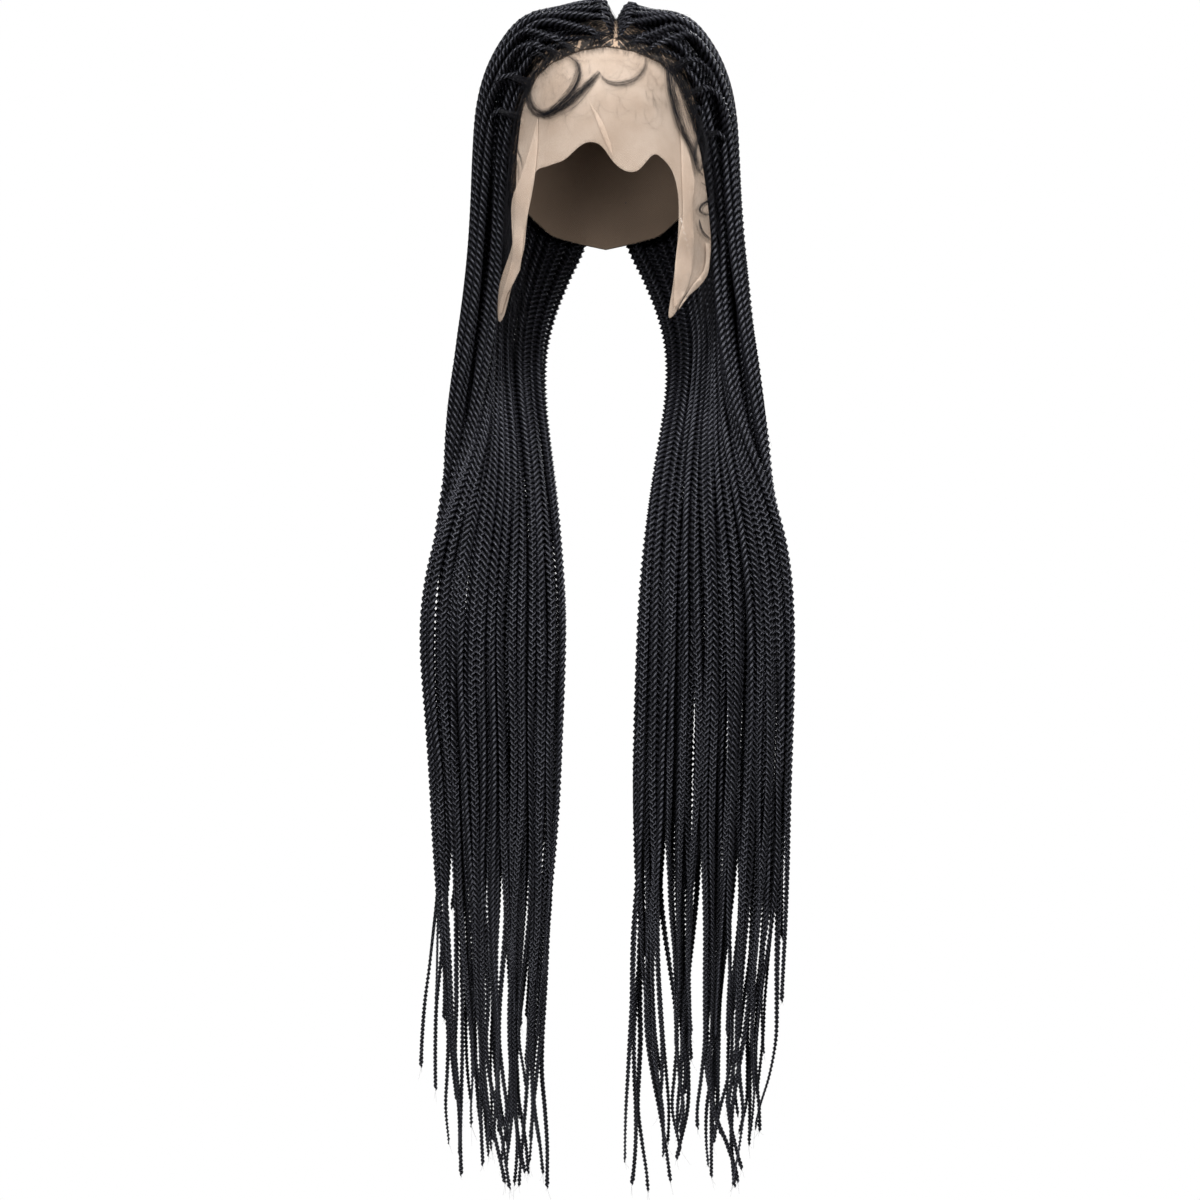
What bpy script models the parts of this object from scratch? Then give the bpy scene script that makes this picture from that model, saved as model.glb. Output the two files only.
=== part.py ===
"""Long braided lace-front wig, as it hangs when worn, with its braids drawn forward over both shoulders.

The origin is where the crown of the head seats inside the cap. +Z is up and -Y is the way the wearer faces.
"""

import math
from collections import namedtuple

import bmesh
import bpy
import numpy as np
from mathutils import Vector

# Head form that the cap is cut to: a 560 mm head, squarer than an ellipsoid in profile
HEAD_HALF_WIDTH = 0.075
HEAD_HALF_DEPTH = 0.095
HEAD_RISE = 0.098
HEAD_ROUNDNESS = 2.3

# Walls and gaps
CAP_WALL = 0.0012
LACE_WALL = 0.0010
BRAID_CLEARANCE = 0.0015
ROOT_CLEARANCE = 0.0002
LAYER_GAP = 0.0018

# Braid fields on each side of the parting
LOCKS = {"front": 0.0, "side": 0.25, "rear": 0.5, "nape": 0.75}
LOCK_SHARE = 0.25
LOCK_GAP_SHARE = 0.011
RIBS_PER_LOCK = 3
VALLEY_FULLNESS = 0.42
EDGE_FULLNESS = 0.30
TIP_FULLNESS = 0.22

# Parting along the crown, and how the falls of hair run from it over the head. A fall is drawn towards its bend,
# whose azimuth and angle down from the crown change from the front fall to the back one.
PARTING_HALF_WIDTH = 0.0038
PARTING_FRONT = -0.066
PARTING_BACK = 0.060
UNDER_LAYER_START = 0.42
TOP_LAYER_RISE = 0.0130
FALL_AZIMUTHS = (66.0, 177.0)
BEND_AZIMUTHS = (44.0, 176.0)
BEND_POLARS = (51.0, 61.0)
BEND_POLAR_LIFT = 8.0

# Where the top layer climbs over the under one, and how full each layer is at its roots
TOP_LAYER_CLIMB = (0.24, 0.01)
ROOT_RUN = 0.22
TOP_ROOT_FULLNESS = 0.45
ROOT_FULLNESS = 0.22

# Heights at which the fringe of loose ends begins, and its shortest and longest ends
FRINGE_TOP = -0.560
NOTCH_SHORTEST = -0.640
NOTCH_LONGEST = -0.705
END_SHORTEST = -0.765
END_LONGEST = -0.884
END_BEAT = 2.4
END_BEAT_RIGHT = 1.3
END_BEAT_LEFT = 0.2
END_BEAT_TOP = 0.9
FRINGE_ROWS = 4

# Share of the run over the head at each row of a braid field
HEAD_RUN = (0.0, 0.10, 0.22, 0.35, 0.48, 0.62, 0.80, 1.0)

# Edge of the cap round the head: degrees from the front, and height
CapEdge = namedtuple("CapEdge", "azimuth height")
CAP_EDGE = (
    CapEdge(0, -0.028),
    CapEdge(20, -0.031),
    CapEdge(40, -0.039),
    CapEdge(50, -0.048),
    CapEdge(60, -0.076),
    CapEdge(70, -0.114),
    CapEdge(80, -0.132),
    CapEdge(100, -0.125),
    CapEdge(120, -0.140),
    CapEdge(140, -0.157),
    CapEdge(180, -0.166),
)

# One level section through the hair on the right: its thickness, then its middle line from the front edge round to
# the back edge. The left side has the same line fitted between its own outer and inner edges.
Section = namedtuple(
    "Section", "height thickness x1 y1 x2 y2 x3 y3 x4 y4 x5 y5 left_outer left_inner"
)
SECTIONS = (
    Section(-0.140, 25, 88, -33, 92, 14, 79, 58, 50, 92, 7, 107, 88, 7),
    Section(-0.168, 25, 90, -37, 95, 10, 84, 50, 60, 80, 21, 96, 89, 20),
    Section(-0.205, 26, 93, -42, 97, 3, 87, 38, 68, 60, 39, 73, 91, 38),
    Section(-0.240, 28, 98, -52, 98, -12, 89, 20, 73, 40, 53, 48, 97, 52),
    Section(-0.275, 31, 104, -66, 100, -32, 89, -6, 72, 12, 51, 20, 104, 50),
    Section(-0.310, 33, 110, -79, 100, -57, 85, -40, 66, -28, 45, -21, 108, 47),
    Section(-0.345, 33, 119, -92, 102, -82, 82, -72, 61, -63, 39, -55, 114, 43),
    Section(-0.385, 31, 129, -101, 107, -102, 82, -98, 57, -91, 32, -82, 124, 38),
    Section(-0.430, 29, 135, -105, 110, -112, 82, -113, 54, -109, 26, -100, 133, 33),
    Section(-0.490, 28, 136, -106, 110, -115, 81, -118, 52, -116, 24, -108, 134, 32),
    Section(-0.560, 27, 135, -106, 108, -114, 79, -117, 50, -115, 21, -109, 129, 33),
    Section(-0.650, 25, 131, -105, 105, -113, 77, -116, 49, -114, 22, -108, 122, 39),
    Section(-0.730, 23, 122, -104, 99, -112, 75, -115, 50, -113, 26, -107, 116, 46),
    Section(-0.900, 20, 108, -103, 91, -110, 73, -112, 55, -110, 38, -105, 104, 54),
)
EQUATOR_THICKNESS = 24.4

# How far apart the points are taken that give the hair's surface its slope
NEAR_SHARE = 0.02
NEAR_HEIGHT = 0.012

# Free edge of the lace front from the left temple to the right one: down a tab, along the hem, and up a tab
EdgePoint = namedtuple("EdgePoint", "across height")
LACE_EDGE = (
    EdgePoint(-0.0665, -0.104),
    EdgePoint(-0.0680, -0.150),
    EdgePoint(-0.0700, -0.174),
    EdgePoint(-0.0800, -0.204),
    EdgePoint(-0.0812, -0.229),
    EdgePoint(-0.0770, -0.228),
    EdgePoint(-0.0700, -0.204),
    EdgePoint(-0.0620, -0.182),
    EdgePoint(-0.0590, -0.158),
    EdgePoint(-0.0535, -0.124),
    EdgePoint(-0.0430, -0.118),
    EdgePoint(-0.0310, -0.114),
    EdgePoint(-0.0190, -0.104),
    EdgePoint(-0.0110, -0.1015),
    EdgePoint(-0.0030, -0.105),
    EdgePoint(0.0060, -0.117),
    EdgePoint(0.0150, -0.123),
    EdgePoint(0.0240, -0.122),
    EdgePoint(0.0340, -0.111),
    EdgePoint(0.0400, -0.111),
    EdgePoint(0.0495, -0.122),
    EdgePoint(0.0540, -0.142),
    EdgePoint(0.0535, -0.172),
    EdgePoint(0.0500, -0.205),
    EdgePoint(0.0465, -0.229),
    EdgePoint(0.0510, -0.228),
    EdgePoint(0.0600, -0.212),
    EdgePoint(0.0740, -0.196),
    EdgePoint(0.0778, -0.176),
    EdgePoint(0.0720, -0.140),
    EdgePoint(0.0665, -0.104),
)
LACE_TOP_AZIMUTH = 60.0
LACE_SEAM_GAP = 0.0004
TAB_FLARE = 0.017
TAB_FLARE_HEIGHTS = (-0.075, -0.140)
LACE_CUTTER_DEPTH = 0.095
LACE_CUTTER_MIDDLE = -0.059

# Sheet that the lace is cut from: half its width, its top and bottom, and its divisions
LACE_HALF_SHEET = 0.086
LACE_SHEET_HEIGHTS = (-0.020, -0.234)
LACE_COLUMNS = 20
LACE_ROWS = 14

# Divisions of the cap round and down the head
CAP_SEGMENTS = 36
CAP_RINGS = 8
CAP_RING_SPREAD = 1.15

CAP_COLOUR = (0.42, 0.27, 0.18, 1.0)
LACE_COLOUR = (0.72, 0.62, 0.55, 1.0)
HAIR_COLOUR = (0.012, 0.011, 0.013, 1.0)


def head_ring(polar):
    """Share of the widest ring, and share of the rise, at an angle down from the crown."""
    power = 2.0 / HEAD_ROUNDNESS
    level = math.cos(polar)
    return max(0.0, math.sin(polar)) ** power, math.copysign(
        abs(level) ** power, level
    )


def head_point(azimuth, polar, lift=0.0):
    """Point on the head at an azimuth from the front (+90 degrees is +X), raised along the head's normal."""
    ring, rise = head_ring(polar)
    point = Vector(
        (
            HEAD_HALF_WIDTH * math.sin(azimuth) * ring,
            -HEAD_HALF_DEPTH * math.cos(azimuth) * ring,
            HEAD_RISE * (rise - 1.0),
        )
    )
    squash = max(ring, 1e-6) ** (HEAD_ROUNDNESS - 2.0)
    normal = Vector(
        (
            squash * point.x / HEAD_HALF_WIDTH**2,
            squash * point.y / HEAD_HALF_DEPTH**2,
            math.copysign(abs(rise) ** (HEAD_ROUNDNESS - 1.0), rise) / HEAD_RISE,
        )
    )
    return point + normal.normalized() * lift


def polar_at(height):
    """Angle down from the crown at which the head reaches a height."""
    rise = 1.0 + height / HEAD_RISE
    level = math.copysign(abs(rise) ** (HEAD_ROUNDNESS / 2.0), rise)
    return math.acos(max(-1.0, min(1.0, level)))


def direction(azimuth, polar):
    return Vector(
        (
            math.sin(polar) * math.sin(azimuth),
            -math.sin(polar) * math.cos(azimuth),
            math.cos(polar),
        )
    )


def head_run(share, run):
    """Azimuth and polar angle along one fall of hair: share 0 is the front fall and 1 the back one, run 0 is the
    parting and 1 the widest level of the head."""
    along = PARTING_FRONT + (PARTING_BACK - PARTING_FRONT) * share
    flat_x = PARTING_HALF_WIDTH / HEAD_HALF_WIDTH
    flat_y = along / HEAD_HALF_DEPTH
    ring = math.hypot(flat_x, flat_y)
    start = direction(
        math.atan2(flat_x, -flat_y), math.asin(ring ** (HEAD_ROUNDNESS / 2.0))
    )
    lift = BEND_POLAR_LIFT * math.sin(math.pi * share)
    bend = direction(
        math.radians(between(BEND_AZIMUTHS, share)),
        math.radians(between(BEND_POLARS, share) - lift),
    )
    fall = direction(math.radians(between(FALL_AZIMUTHS, share)), math.pi / 2)
    at = start * (1 - run) ** 2 + bend * 2 * run * (1 - run) + fall * run**2
    at.normalize()
    return math.atan2(at.x, -at.y), math.acos(max(-1.0, min(1.0, at.z)))


def between(ends, share):
    return ends[0] + (ends[1] - ends[0]) * share


def smooth(low, high, value):
    step = max(0.0, min(1.0, (value - low) / (high - low)))
    return step * step * (3 - 2 * step)


def through(points, count=8):
    """Points along a smooth curve through a few points, evenly spaced along its length."""
    p = np.vstack([2 * points[0] - points[1], points, 2 * points[-1] - points[-2]])
    t = np.linspace(0, 1, count, endpoint=False)[:, None]
    runs = [
        0.5
        * (
            2 * b
            + (c - a) * t
            + (2 * a - 5 * b + 4 * c - d) * t**2
            + (3 * b - a - 3 * c + d) * t**3
        )
        for a, b, c, d in zip(p[:-3], p[1:-2], p[2:-1], p[3:])
    ]
    return np.vstack([*runs, points[-1:]])


def section_line(row, side):
    """Middle line of one section as points in metres, on the right (side 1) or the left (side -1)."""
    line = np.array([row[2:12]], float).reshape(5, 2)
    if side < 0:
        outer, inner = line[0, 0], line[-1, 0]
        share = (line[:, 0] - inner) / (outer - inner)
        line[:, 0] = row.left_inner + share * (row.left_outer - row.left_inner)
    return through(line / 1000.0)


LINES = {
    side: [section_line(row, side) for row in SECTIONS] for side in (1, -1)
}


def on_line(line, share):
    """Place at a share of a line's length."""
    steps = np.linalg.norm(np.diff(line, axis=0), axis=1)
    run = np.concatenate([[0.0], np.cumsum(steps)])
    return np.array([np.interp(share * run[-1], run, line[:, k]) for k in (0, 1)])


def middle_point(side, share, height):
    """Point on the middle surface of the hanging hair at a share of the way round and a height."""
    heights = [row.height for row in SECTIONS]
    k = int(np.clip(np.searchsorted([-h for h in heights], -height), 1, len(heights) - 1))
    blend = (heights[k - 1] - height) / (heights[k - 1] - heights[k])
    upper, lower = (on_line(line, share) for line in (LINES[side][k - 1], LINES[side][k]))
    x, y = upper * (1 - blend) + lower * blend
    return Vector((x, y, height))


def fall_point(side, share, height, offset):
    """Point in the hanging hair at a distance outwards from its middle surface."""
    low = max(height - NEAR_HEIGHT, SECTIONS[-1].height)
    high = min(height + NEAR_HEIGHT, SECTIONS[0].height)
    before = middle_point(side, max(0.0, share - NEAR_SHARE), height)
    after = middle_point(side, min(1.0, share + NEAR_SHARE), height)
    below, above = middle_point(side, share, low), middle_point(side, share, high)
    outward = (below - above).cross(after - before).normalized()
    at = middle_point(side, share, height) + outward * offset
    at.x *= side
    return at


def half_thickness(height):
    """Half the thickness of both layers of hair together, at a height."""
    heights = [-HEAD_RISE] + [row.height for row in SECTIONS]
    thickness = [EQUATOR_THICKNESS] + [row.thickness for row in SECTIONS]
    return float(np.interp(-height, [-h for h in heights], thickness)) / 2000.0


def layer_half(height):
    """Half the thickness of one layer of hair at a height."""
    return half_thickness(height) / 2 - LAYER_GAP / 4


def top_lift(run):
    """How far the upper layer rides up over the lower one."""
    before, done = TOP_LAYER_CLIMB
    return TOP_LAYER_RISE * smooth(UNDER_LAYER_START - before, UNDER_LAYER_START - done, run)


def sprout(run, start, root):
    """Fullness of a layer of hair, growing from its roots."""
    return root + (1.0 - root) * smooth(start, start + ROOT_RUN, run)


def remove_all():
    for thing in list(bpy.data.objects):
        bpy.data.objects.remove(thing)
    for group in list(bpy.data.collections):
        bpy.data.collections.remove(group)


def material(name, colour, roughness):
    made = bpy.data.materials.new(name)
    made.use_nodes = True
    shader = made.node_tree.nodes["Principled BSDF"]
    shader.inputs["Base Color"].default_value = colour
    shader.inputs["Roughness"].default_value = roughness
    shader.inputs["Metallic"].default_value = 0.0
    return made


def mapped_grid(name, across, down, place, stuff, parts):
    """An open sheet of quads: the vertex at a share across and a share down is moved to place(across, down)."""
    mesh = bmesh.new()
    bmesh.ops.create_grid(mesh, x_segments=across, y_segments=down, size=0.5)
    for vertex in mesh.verts:
        vertex.co = place(vertex.co.x + 0.5, 0.5 - vertex.co.y)
    bmesh.ops.remove_doubles(mesh, verts=mesh.verts, dist=1e-6)
    data = bpy.data.meshes.new(name)
    mesh.to_mesh(data)
    mesh.free()
    data.materials.append(stuff)
    data.shade_smooth()
    thing = bpy.data.objects.new(name, data)
    parts.objects.link(thing)
    return thing


def solidify(thing, thickness, offset, group=None):
    wall = thing.modifiers.new("Wall", "SOLIDIFY")
    wall.thickness = thickness
    wall.offset = offset
    if group:
        wall.vertex_group = group
    return wall


def cap_edge_polar(azimuth):
    """Angle down from the crown at which the cap ends."""
    turn = math.degrees(abs(math.remainder(azimuth, 2 * math.pi)))
    height = np.interp(turn, [e.azimuth for e in CAP_EDGE], [e.height for e in CAP_EDGE])
    return polar_at(float(height))


def make_cap(stuff, parts):
    """Lace cap: a thin dome from the crown down to the hairline, round the ears and to the nape."""

    def place(across, down):
        azimuth = across * 2 * math.pi
        return head_point(azimuth, cap_edge_polar(azimuth) * down**CAP_RING_SPREAD)

    cap = mapped_grid("lace_cap", CAP_SEGMENTS, CAP_RINGS, place, stuff, parts)
    centre = Vector((0.0, 0.0, -HEAD_RISE))
    first = cap.data.polygons[0]
    faces_out = first.normal.dot(first.center - centre) > 0
    solidify(cap, CAP_WALL, 1.0 if faces_out else -1.0)


def lace_surface(across, height):
    """Depth at which the lace lies: on the forehead down to the brow, then flaring off the cheeks."""
    ring = head_ring(polar_at(height))[0] if height > -HEAD_RISE else 1.0
    high, low = TAB_FLARE_HEIGHTS
    flare = TAB_FLARE * smooth(-high, -low, -height)
    half_width = HEAD_HALF_WIDTH * ring + CAP_WALL / 2 + flare
    half_depth = HEAD_HALF_DEPTH * ring + CAP_WALL / 2
    return -half_depth * math.sqrt(max(0.04, 1.0 - (across / half_width) ** 2))


def lace_outline():
    """Outline of the lace seen from the front: along the cap's edge from right to left, then round the free edge."""
    step = 360 // CAP_SEGMENTS
    turns = np.radians(np.arange(LACE_TOP_AZIMUTH, -LACE_TOP_AZIMUTH - step / 2, -step))
    seam = [head_point(t, cap_edge_polar(t)) for t in turns]
    seam = np.array([(p.x, p.z) for p in seam])
    along = np.gradient(seam, axis=0)
    along /= np.linalg.norm(along, axis=1)[:, None]
    below = seam + np.column_stack([-along[:, 1], along[:, 0]]) * LACE_SEAM_GAP
    return [tuple(p) for p in below] + [(e.across, e.height) for e in LACE_EDGE]


def make_lace_cutter(cutters):
    """Prism with the lace's outline, standing across the front of the head."""
    curve = bpy.data.curves.new("lace_outline", "CURVE")
    curve.dimensions = "2D"
    curve.fill_mode = "BOTH"
    curve.extrude = LACE_CUTTER_DEPTH / 2
    outline = lace_outline()
    spline = curve.splines.new("POLY")
    spline.points.add(len(outline) - 1)
    spline.use_cyclic_u = True
    for point, (x, z) in zip(spline.points, outline):
        point.co = (x, z, 0.0, 1.0)
    flat = bpy.data.objects.new("lace_outline", curve)
    cutters.objects.link(flat)
    flat.rotation_euler = (math.pi / 2, 0.0, 0.0)
    flat.location = (0.0, LACE_CUTTER_MIDDLE, 0.0)
    bpy.context.view_layer.update()
    evaluated = flat.evaluated_get(bpy.context.evaluated_depsgraph_get())
    data = bpy.data.meshes.new_from_object(evaluated)
    place = flat.matrix_world.copy()
    bpy.data.objects.remove(flat)
    mesh = bmesh.new()
    mesh.from_mesh(data)
    bmesh.ops.remove_doubles(mesh, verts=mesh.verts, dist=1e-6)
    bmesh.ops.recalc_face_normals(mesh, faces=mesh.faces)
    mesh.to_mesh(data)
    mesh.free()
    cutter = bpy.data.objects.new("lace_outline", data)
    cutter.matrix_world = place
    cutter.hide_render = True
    cutter.display_type = "WIRE"
    cutters.objects.link(cutter)
    return cutter


def make_lace_front(stuff, parts, cutters):
    """Lace front: a thin sheet from the hairline over the forehead, with a wavy hem and a long tab at each side."""

    def place(across, down):
        x = LACE_HALF_SHEET * math.sin((2 * across - 1) * math.pi / 2)
        z = between(LACE_SHEET_HEIGHTS, down)
        return Vector((x, lace_surface(x, z), z))

    lace = mapped_grid("lace_front", LACE_COLUMNS, LACE_ROWS, place, stuff, parts)
    solidify(lace, LACE_WALL, 0.0)
    trim = lace.modifiers.new("Outline", "BOOLEAN")
    trim.operation = "INTERSECT"
    trim.solver = "EXACT"
    trim.object = make_lace_cutter(cutters)


def column_end(side, top, index):
    """Height at which a column of a braid field ends: a braid's own tip, or the notch between two braids."""
    start = (END_BEAT_RIGHT if side > 0 else END_BEAT_LEFT) + (END_BEAT_TOP if top else 0.0)
    beat = 0.5 + 0.5 * math.sin(END_BEAT * index + start)
    ends = (END_SHORTEST, END_LONGEST) if index % 2 else (NOTCH_SHORTEST, NOTCH_LONGEST)
    return between(ends, beat)


def make_braid_field(side, top, place_name, stuff, parts):
    """One field of braids: a ribbed sheet from its roots over the head, down past the neck, to a fringe of ends."""
    columns = 2 * RIBS_PER_LOCK
    first = LOCKS[place_name]
    runs = HEAD_RUN if top else [r for r in HEAD_RUN if r > UNDER_LAYER_START]
    levels = [row.height for row in SECTIONS if row.height >= FRINGE_TOP]
    rows = len(runs) + len(levels) + FRINGE_ROWS
    start = 0.0 if top else runs[0]
    root = TOP_ROOT_FULLNESS if top else ROOT_FULLNESS
    layer = 1.0 if top else -1.0
    fullness = {}

    def spot(across, down):
        column, row = round(across * columns), round(down * (rows - 1))
        share = first + LOCK_GAP_SHARE + (LOCK_SHARE - 2 * LOCK_GAP_SHARE) * across
        edge = column in (0, columns)
        full = 1.0 if column % 2 else EDGE_FULLNESS if edge else VALLEY_FULLNESS
        if row < len(runs):
            run = runs[row]
            half = layer_half(-HEAD_RISE) * sprout(run, start, root)
            azimuth, polar = head_run(share, run)
            clearance = ROOT_CLEARANCE if row == 0 else BRAID_CLEARANCE
            base = CAP_WALL + clearance + (top_lift(run) if top else 0.0)
            at = head_point(azimuth, polar, base + half)
            at.x *= side
        else:
            height, taper = hanging_height(column, row - len(runs))
            half = layer_half(height) * taper
            middle = layer * (half_thickness(height) / 2 + LAYER_GAP / 4)
            at = fall_point(side, share, height, middle)
        fullness[tuple(round(c, 6) for c in at)] = half * full
        return at

    def hanging_height(column, row):
        if row < len(levels):
            return levels[row], 1.0
        end = column_end(side, top, round(first / LOCK_SHARE) * columns + column)
        share = (row - len(levels) + 1) / FRINGE_ROWS
        return between((FRINGE_TOP, end), share), between((1.0, TIP_FULLNESS), share)

    layer_name = "top" if top else "under"
    side_name = "right" if side > 0 else "left"
    name = f"braids_{layer_name}_{side_name}_{place_name}"
    field = mapped_grid(name, columns, rows - 1, spot, stuff, parts)
    most = max(fullness.values())
    group = field.vertex_groups.new(name="fullness")
    for vertex in field.data.vertices:
        half = fullness[tuple(round(c, 6) for c in vertex.co)]
        group.add([vertex.index], half / most, "REPLACE")
    solidify(field, 2 * most, 0.0, group.name)


def main():
    remove_all()
    parts = bpy.data.collections.new("braid_wig")
    cutters = bpy.data.collections.new("cutters")
    for group in (parts, cutters):
        bpy.context.scene.collection.children.link(group)
    cap_net = material("cap_net", CAP_COLOUR, 0.85)
    lace = material("lace", LACE_COLOUR, 0.7)
    hair = material("hair", HAIR_COLOUR, 0.45)
    make_cap(cap_net, parts)
    make_lace_front(lace, parts, cutters)
    for side in (1, -1):
        for top in (True, False):
            for place_name in LOCKS:
                make_braid_field(side, top, place_name, hair, parts)


main()
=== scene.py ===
"""Long braided lace-front wig: stitched braids, the net, the lace, the roots and the baby hair."""

import math
from collections import namedtuple
from functools import partialmethod

import bmesh
import bpy
import numpy as np
from bpy.props import FloatProperty, FloatVectorProperty, IntProperty, PointerProperty
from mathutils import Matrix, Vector
from mathutils.geometry import delaunay_2d_cdt


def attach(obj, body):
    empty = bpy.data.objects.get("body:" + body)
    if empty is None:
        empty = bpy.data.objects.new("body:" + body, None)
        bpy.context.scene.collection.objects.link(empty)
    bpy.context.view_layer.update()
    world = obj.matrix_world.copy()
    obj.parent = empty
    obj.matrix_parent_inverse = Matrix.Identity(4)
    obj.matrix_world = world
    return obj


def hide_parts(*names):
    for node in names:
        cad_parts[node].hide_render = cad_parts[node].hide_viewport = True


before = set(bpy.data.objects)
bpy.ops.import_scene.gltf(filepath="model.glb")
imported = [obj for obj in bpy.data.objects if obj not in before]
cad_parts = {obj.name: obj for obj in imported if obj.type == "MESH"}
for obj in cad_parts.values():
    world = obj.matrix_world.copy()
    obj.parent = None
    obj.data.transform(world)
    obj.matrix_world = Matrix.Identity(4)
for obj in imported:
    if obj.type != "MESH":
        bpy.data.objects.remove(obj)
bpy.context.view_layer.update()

bl_info = {
    "name": "Braid wig",
    "version": (1, 0, 0),
    "blender": (4, 5, 0),
    "location": "3D View > Sidebar > Wig",
    "description": "Makes a long braided lace-front wig round its frame",
    "category": "Object",
}

MM = 0.001


def table(name, columns, *rows):
    """A short table whose rows have named columns."""
    return tuple(namedtuple(name, columns)(*row) for row in rows)


# Head form that the cap is cut to
HEAD_HALF_WIDTH = 0.075
HEAD_HALF_DEPTH = 0.095
HEAD_RISE = 0.098
HEAD_ROUNDNESS = 2.3
CAP_WALL = 0.0012
LAYER_GAP = 0.0018
BRAID_CLEARANCE = 0.0015

# How the falls of hair run from the parting over the head
PARTING_FRONT = -0.066
PARTING_BACK = 0.060
UNDER_LAYER_START = 0.42
TOP_LAYER_RISE = 0.0130
TOP_LAYER_CLIMB = (0.24, 0.01)
FALL_AZIMUTHS = (66.0, 177.0)
BEND_AZIMUTHS = (44.0, 176.0)
BEND_POLARS = (51.0, 61.0)
BEND_POLAR_LIFT = 8.0
EQUATOR_THICKNESS = 24.4
LOCKS = ("front", "side", "rear", "nape")

# Edge of the cap round the head: degrees from the front, and height
CAP_EDGE = table(
    "CapEdge", "azimuth height",
    (0, -0.028), (20, -0.031), (40, -0.039), (50, -0.048), (60, -0.076), (70, -0.114), (80, -0.132),
    (100, -0.125), (120, -0.140), (140, -0.157), (180, -0.166),
)

# One level section through the hair on the right: thickness, then the middle line from front to back, in mm.
# On the left the same line is fitted between that side's own outer and inner edges.
SECTIONS = table(
    "Section", "height thickness x1 y1 x2 y2 x3 y3 x4 y4 x5 y5 left_outer left_inner",
    (-0.140, 25, 88, -33, 92, 14, 79, 58, 50, 92, 7, 107, 88, 7),
    (-0.168, 25, 90, -37, 95, 10, 84, 50, 60, 80, 21, 96, 89, 20),
    (-0.205, 26, 93, -42, 97, 3, 87, 38, 68, 60, 39, 73, 91, 38),
    (-0.240, 28, 98, -52, 98, -12, 89, 20, 73, 40, 53, 48, 97, 52),
    (-0.275, 31, 104, -66, 100, -32, 89, -6, 72, 12, 51, 20, 104, 50),
    (-0.310, 33, 110, -79, 100, -57, 85, -40, 66, -28, 45, -21, 108, 47),
    (-0.345, 33, 119, -92, 102, -82, 82, -72, 61, -63, 39, -55, 114, 43),
    (-0.385, 31, 129, -101, 107, -102, 82, -98, 57, -91, 32, -82, 124, 38),
    (-0.430, 29, 135, -105, 110, -112, 82, -113, 54, -109, 26, -100, 133, 33),
    (-0.490, 28, 136, -106, 110, -115, 81, -118, 52, -116, 24, -108, 134, 32),
    (-0.560, 27, 135, -106, 108, -114, 79, -117, 50, -115, 21, -109, 129, 33),
    (-0.650, 25, 131, -105, 105, -113, 77, -116, 49, -114, 22, -108, 122, 39),
    (-0.730, 23, 122, -104, 99, -112, 75, -115, 50, -113, 26, -107, 116, 46),
    (-0.900, 20, 108, -103, 91, -110, 73, -112, 55, -110, 38, -105, 104, 54),
)
HEAD_STATIONS = (0.0, 0.05, 0.1, 0.15, 0.2, 0.26, 0.32, 0.38, 0.44, 0.5, 0.58, 0.66, 0.76, 0.88, 1.0)
HANG_STATIONS = tuple(np.linspace(-0.140, -0.895, 30))
SHARES = np.linspace(0.0, 1.0, 65)

# Roots of the front rows on each side, from the temple to the parting: degrees from the front. The parting
# is a little right of the middle.
HAIRLINE_ROOTS = {1: (65.0, 56.0, 48.0, 30.0, 18.0), -1: (61.0, 53.0, 36.0, 27.0, 5.0)}
SECOND_ROOTS = {1: (62.0, 52.0, 41.0, 24.0, 14.0), -1: (57.0, 46.0, 31.0, 17.0, 1.0)}
FRONT_ROW = 5
HAIRLINE_INSET = 3.4
SECOND_INSET = 8.5
PARTING_ROOTS = (-0.064, 0.062)
PARTING_HALF_WIDTH = 0.0020
PARTING_ACROSS = 0.0070
ROOT_JOIN = 0.34
ROOT_SPACING = (PARTING_ROOTS[1] - PARTING_ROOTS[0]) / 24
HAIRLINE_GAPS = (-43.0, -17.0, 38.0, 58.0)

# Hair drawn into a root from the cap round it: how wide and how deep, in radians, and how many hairs
TEMPLE_TUFT = (0.060, 0.062, 30)
EDGE_TUFT = (0.105, 0.062, 44)
PARTING_TUFT = (0.030, 0.045, 12)

UNDER_ROOT_RUN = 0.13
ROOT_LIFT = 0.0012
ROW_STAGGER = 0.0018

# Rise of the top layer beside the parting, which is higher on the left, and where it has settled
CREST_RISE = {1: 0.0036, -1: 0.0054}
CREST_RUN = 0.045
SETTLED_RISE = 0.0014

# Slow drifts of a braid across its bundle: stations from knot to knot, amount, and how far below the crown
# each begins and is full
DRIFTS = table(
    "Drift", "every amount begins full",
    (4, 0.011, 0.16, 0.45), (4, 0.028, 0.48, 0.76), (2, 0.105, 0.73, 0.88),
)

# Width of a braid along its length, as a share of its full width
WIDTHS = table(
    "WidthAt", "run share",
    (0.0, 1.09), (0.20, 1.09), (0.36, 1.04), (0.50, 0.96), (0.65, 0.85), (0.76, 0.70), (0.86, 0.45),
    (0.93, 0.33), (1.0, 0.25),
)
KNOT_BULGE = (1.05, 1.2, 1.3, 1.3, 1.15, 0.6)

# Clumps that the loose ends gather into, as shares across the bundle
CLUMPS = (0.02, 0.14, 0.30, 0.47, 0.70, 0.93)

# Heights of the tips: the range of the early ones and their share, the mean and spread of the others, and
# the limits of those
EARLY_TIPS = (-0.805, -0.715)
EARLY_SHARE = 0.20
LATE_TIPS = (-0.832, 0.030)
TIP_LIMITS = (-0.873, -0.76)

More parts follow.
